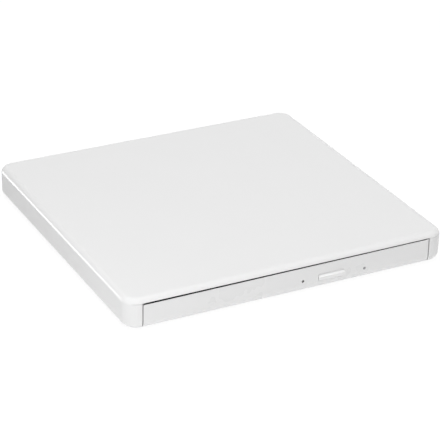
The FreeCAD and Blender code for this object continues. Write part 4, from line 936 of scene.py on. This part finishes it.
# The focus coil in millimetres: middle u and z, half sizes, corner radius, length and wire radius, then
# its turns and the points on each
FOCUS_U = 22.1
FOCUS_Z = 6.05
FOCUS_HALF = (2.84, 4.64)
FOCUS_CORNER = 0.55
FOCUS_LENGTH = 0.9
FOCUS_WIRE = 0.05
FOCUS_TURNS = 8
FOCUS_POINTS = 32
# The lens's four wires in millimetres: from and to u, v and z of the four, radius, and a stretch of u and a
# height for a bend that the wires don't take
WIRE_U = (16.3, 24.2)
WIRE_V = (-5.3, 5.3)
WIRE_Z = (5.65, 6.65)
WIRE_RADIUS = 0.045
WIRE_BEND_U = (17.0, 24.0)
WIRE_BEND_Z = 6.0


class DISCDRIVE_OT_finish_pickup(DiscDriveStep, bpy.types.Operator):
    """The sled, the lens and its holder, with the focus coil and the four wires that carry it"""
    bl_idname = "disc_drive.finish_pickup"
    bl_label = "Finish Pickup"

    def execute(self, context):
        inside = context.scene.disc_drive_inside
        cast = finish("cast metal", (0.36, 0.37, 0.39), 0.46, pores(0.0004), depth=0.000014, tone=0.16,
                      wander=0.08, patch=0.004, Metallic=1.0)
        holder = finish("holder plastic", (0.030, 0.030, 0.032), 0.38, drawn_lines(2400.0, 700.0, 700.0),
                        depth=0.000004, tone=0.3)
        arm = finish("follower plastic", (0.78, 0.78, 0.75), 0.4, moulded_grain(0.0004), depth=0.000005,
                     tone=0.04)
        glass = finish("lens glass", (0.80, 0.86, 0.96), 0.04, moulded_grain(0.004), depth=0.0000002,
                       tone=0.04, wander=0.01, Transmission_Weight=1.0, IOR=1.6, Coat_Weight=0.6,
                       Coat_Tint=(0.65, 0.55, 1.0, 1.0))
        dress(cast, "pickup_body")
        dress(holder, "lens_holder")
        dress(arm, "screw_follower")
        dress(glass, "objective_lens")
        self.focus_coil(copper_wire(inside))
        self.wires(copper_wire(inside))
        return {"FINISHED"}

    def focus_coil(self, wire):
        """Wire round the lens holder: a rounded rectangle carried upwards."""
        path = winding(FOCUS_HALF, FOCUS_CORNER, FOCUS_LENGTH, FOCUS_TURNS, FOCUS_POINTS)
        points = on_unit(path[:, 1] + FOCUS_U, path[:, 2], path[:, 0] + FOCUS_Z)
        piece("focus_coil", *tube(points, FOCUS_WIRE * MM, (0, 0, 1), 6), wire, "lens", "copper_winding")

    def wires(self, wire):
        """Four thin wires from the sled to the lens holder, straight along the way the sled moves."""
        u = np.linspace(*WIRE_U, 25)
        shapes = [tube(on_unit(u, v, z), WIRE_RADIUS * MM, (0, 0, 1), 6) for v in WIRE_V for z in WIRE_Z]
        made = piece("suspension_wires", *gathered(shapes), wire, None, "copper_winding")
        start, end = (tuple(on_unit(u, 0.0, WIRE_BEND_Z)) for u in WIRE_BEND_U)
        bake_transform(made)


# The camera: degrees from the front, above the floor and rolled, its focal length in pixels of the
# photograph, the drive's middle there, and how far behind that middle it aims, in metres
CAMERA_TURN = (-27.515, 27.041, 1.279)
CAMERA_PIXELS = 1882.38
CAMERA_MIDDLE = (214.097, 225.458)
CAMERA_AIM_Y = 0.000125
# Lamps: name, place, width and height in metres, power in watts, and if glossy surfaces mirror it.
# The mirrored one gives no other light and stands below the top, so that only rounded edges show it.
# The others are mirrored nowhere.
LAMPS = (
    ("top_lamp", (0.000, 0.000, 1.000), (0.5, 0.5), 7.58, False),
    ("front_lamp", (-0.082, -0.936, 0.342), (0.5, 0.3), 2.65, False),
    ("near_lamp", (-0.230, -0.130, 0.060), (0.12, 0.08), 0.105, False),
    ("edge_lamp", (-0.440, 0.620, -0.055), (0.30, 0.11), 1.13, True),
    ("under_lamp", (0.150, 0.250, -0.960), (1.0, 1.0), 1.20, False),
)
# The floor: half its side in metres, its own white light, and the share of that in what the camera sees
FLOOR_HALF = 4.0
FLOOR_GLOW = 1.08
FLOOR_GLOW_SHARE = 0.85


class DISCDRIVE_OT_add_studio(DiscDriveStep, bpy.types.Operator):
    """A plain pale floor, soft lamps, even light all round and the camera"""
    bl_idname = "disc_drive.add_studio"
    bl_label = "Add Studio"

    def execute(self, context):
        studio = context.scene.disc_drive_studio
        self.floor(tuple(studio.floor_colour))
        self.sky(context.scene, studio.sky_level)
        for name, place, size, power, mirrored in LAMPS:
            lamp = bpy.data.lights.new(name, "AREA")
            lamp.shape = "RECTANGLE"
            lamp.size, lamp.size_y = size
            lamp.energy = power * studio.lamp_level
            stand = bpy.data.objects.new(name, lamp)
            stand.location = place
            stand.visible_glossy = mirrored
            stand.visible_diffuse = not mirrored
            stand.rotation_euler = (-Vector(place)).to_track_quat("-Z", "Y").to_euler()
            context.scene.collection.objects.link(stand)
        self.camera(context.scene, studio.camera_distance)
        context.scene.view_settings.view_transform = "Standard"
        return {"FINISHED"}

    def floor(self, colour):
        """A large flat square at the height that the feet stand on. The camera sees it as white with
        a faint shadow of the object, metal and glass see the white sky through it, and it is clear
        from below."""
        corners = [(x * FLOOR_HALF, y * FLOOR_HALF, 0) for x, y in ((-1, -1), (1, -1), (1, 1), (-1, 1))]
        mesh = bpy.data.meshes.new("floor")
        mesh.from_pydata(corners, [], [(0, 1, 2, 3)])
        made = bpy.data.objects.new("floor", mesh)
        bpy.context.scene.collection.objects.link(made)
        material = finish("floor paint", colour, 0.9, moulded_grain(0.002), depth=0.00001, tone=0.004)
        tree, shader, _ = parts_of(material)
        shader.inputs["Specular IOR Level"].default_value = 0.0
        glow = node(tree, "ShaderNodeEmission", {"Color": (*WHITE, 1.0), "Strength": FLOOR_GLOW})
        rays = node(tree, "ShaderNodeLightPath").outputs
        share = calc(tree, "MULTIPLY", rays["Is Camera Ray"], FLOOR_GLOW_SHARE)
        seen = node(tree, "ShaderNodeMixShader", {0: share, 1: shader.outputs[0], 2: glow.outputs[0]})
        below = node(tree, "ShaderNodeNewGeometry").outputs["Backfacing"]
        through = calc(tree, "MAXIMUM", calc(tree, "MAXIMUM", below, rays["Is Shadow Ray"]),
                       calc(tree, "MAXIMUM", rays["Is Glossy Ray"], rays["Is Transmission Ray"]))
        clear = node(tree, "ShaderNodeBsdfTransparent", {"Color": (*WHITE, 1.0)})
        surface = node(tree, "ShaderNodeMixShader", {0: through, 1: seen.outputs[0], 2: clear.outputs[0]})
        tree.links.new(surface.outputs[0], only(tree, "OUTPUT_MATERIAL").inputs["Surface"])
        mesh.materials.append(material)

    def sky(self, scene, level):
        """Even light all round, which the camera, metal and glass see as white."""
        world = bpy.data.worlds.new("even light")
        world.use_nodes = True
        tree = world.node_tree
        back = only(tree, "BACKGROUND")
        rays = node(tree, "ShaderNodeLightPath").outputs
        mirrored = calc(tree, "MAXIMUM", rays["Is Glossy Ray"], rays["Is Transmission Ray"])
        shown = calc(tree, "MAXIMUM", rays["Is Camera Ray"], mirrored)
        tree.links.new(between(tree, shown, level, 1.0), back.inputs["Strength"])
        back.inputs["Color"].default_value = (*WHITE, 1.0)
        scene.world = world

    def camera(self, scene, distance):
        """The camera of the photograph, rolled about its own line of sight."""
        turn, rise, roll = (math.radians(a) for a in CAMERA_TURN)
        back = Vector((math.sin(turn) * math.cos(rise), -math.cos(turn) * math.cos(rise), math.sin(rise)))
        right = Vector((math.cos(turn), math.sin(turn), 0.0))
        up = back.cross(right)
        level = right * math.cos(roll) + up * math.sin(roll)
        upright = up * math.cos(roll) - right * math.sin(roll)
        place = Matrix((level, upright, back)).transposed().to_4x4()
        place.translation = back * distance + Vector((0.0, CAMERA_AIM_Y, 0.0))
        made = bpy.data.objects.new("camera", bpy.data.cameras.new("camera"))
        made.matrix_world = place
        lens = made.data
        lens.sensor_width = 36.0
        lens.lens = CAMERA_PIXELS * lens.sensor_width / PHOTO_SIDE
        lens.shift_x = (PHOTO_SIDE / 2 - CAMERA_MIDDLE[0]) / PHOTO_SIDE
        lens.shift_y = (CAMERA_MIDDLE[1] - PHOTO_SIDE / 2) / PHOTO_SIDE
        lens.clip_start = 0.01
        scene.collection.objects.link(made)
        scene.camera = made


STEPS = (
    DISCDRIVE_OT_finish_case, DISCDRIVE_OT_finish_light, DISCDRIVE_OT_finish_feet,
    DISCDRIVE_OT_finish_metalwork, DISCDRIVE_OT_finish_tray, DISCDRIVE_OT_finish_boards,
    DISCDRIVE_OT_add_board_parts, DISCDRIVE_OT_finish_ribbon, DISCDRIVE_OT_finish_latch,
    DISCDRIVE_OT_finish_spindle, DISCDRIVE_OT_finish_traverse, DISCDRIVE_OT_finish_pickup,
    DISCDRIVE_OT_add_studio,
)


class DISCDRIVE_PT_sidebar(bpy.types.Panel):
    """The steps and settings of the disc drive"""
    bl_idname = "DISCDRIVE_PT_sidebar"
    bl_label = "Disc Drive"
    bl_space_type = "VIEW_3D"
    bl_region_type = "UI"
    bl_category = "Disc Drive"

    def draw(self, context):
        scene = context.scene
        for settings in (scene.disc_drive_case, scene.disc_drive_inside, scene.disc_drive_studio):
            box = self.layout.box()
            for key in settings.__annotations__:
                box.prop(settings, key)
        for step in STEPS:
            self.layout.operator(step.bl_idname)


CLASSES = (CaseSettings, DriveSettings, StudioSettings, *STEPS, DISCDRIVE_PT_sidebar)


def register():
    for kind in CLASSES:
        bpy.utils.register_class(kind)
    bpy.types.Scene.disc_drive_case = bpy.props.PointerProperty(type=CaseSettings)
    bpy.types.Scene.disc_drive_inside = bpy.props.PointerProperty(type=DriveSettings)
    bpy.types.Scene.disc_drive_studio = bpy.props.PointerProperty(type=StudioSettings)


def unregister():
    for key in ("disc_drive_case", "disc_drive_inside", "disc_drive_studio"):
        delattr(bpy.types.Scene, key)
    for kind in reversed(CLASSES):
        bpy.utils.unregister_class(kind)


def main():
    """Runs every step in order."""
    register()
    for step in STEPS:
        group, name = step.bl_idname.split(".")
        getattr(getattr(bpy.ops, group), name)()


if __name__ == "__main__":
    main()
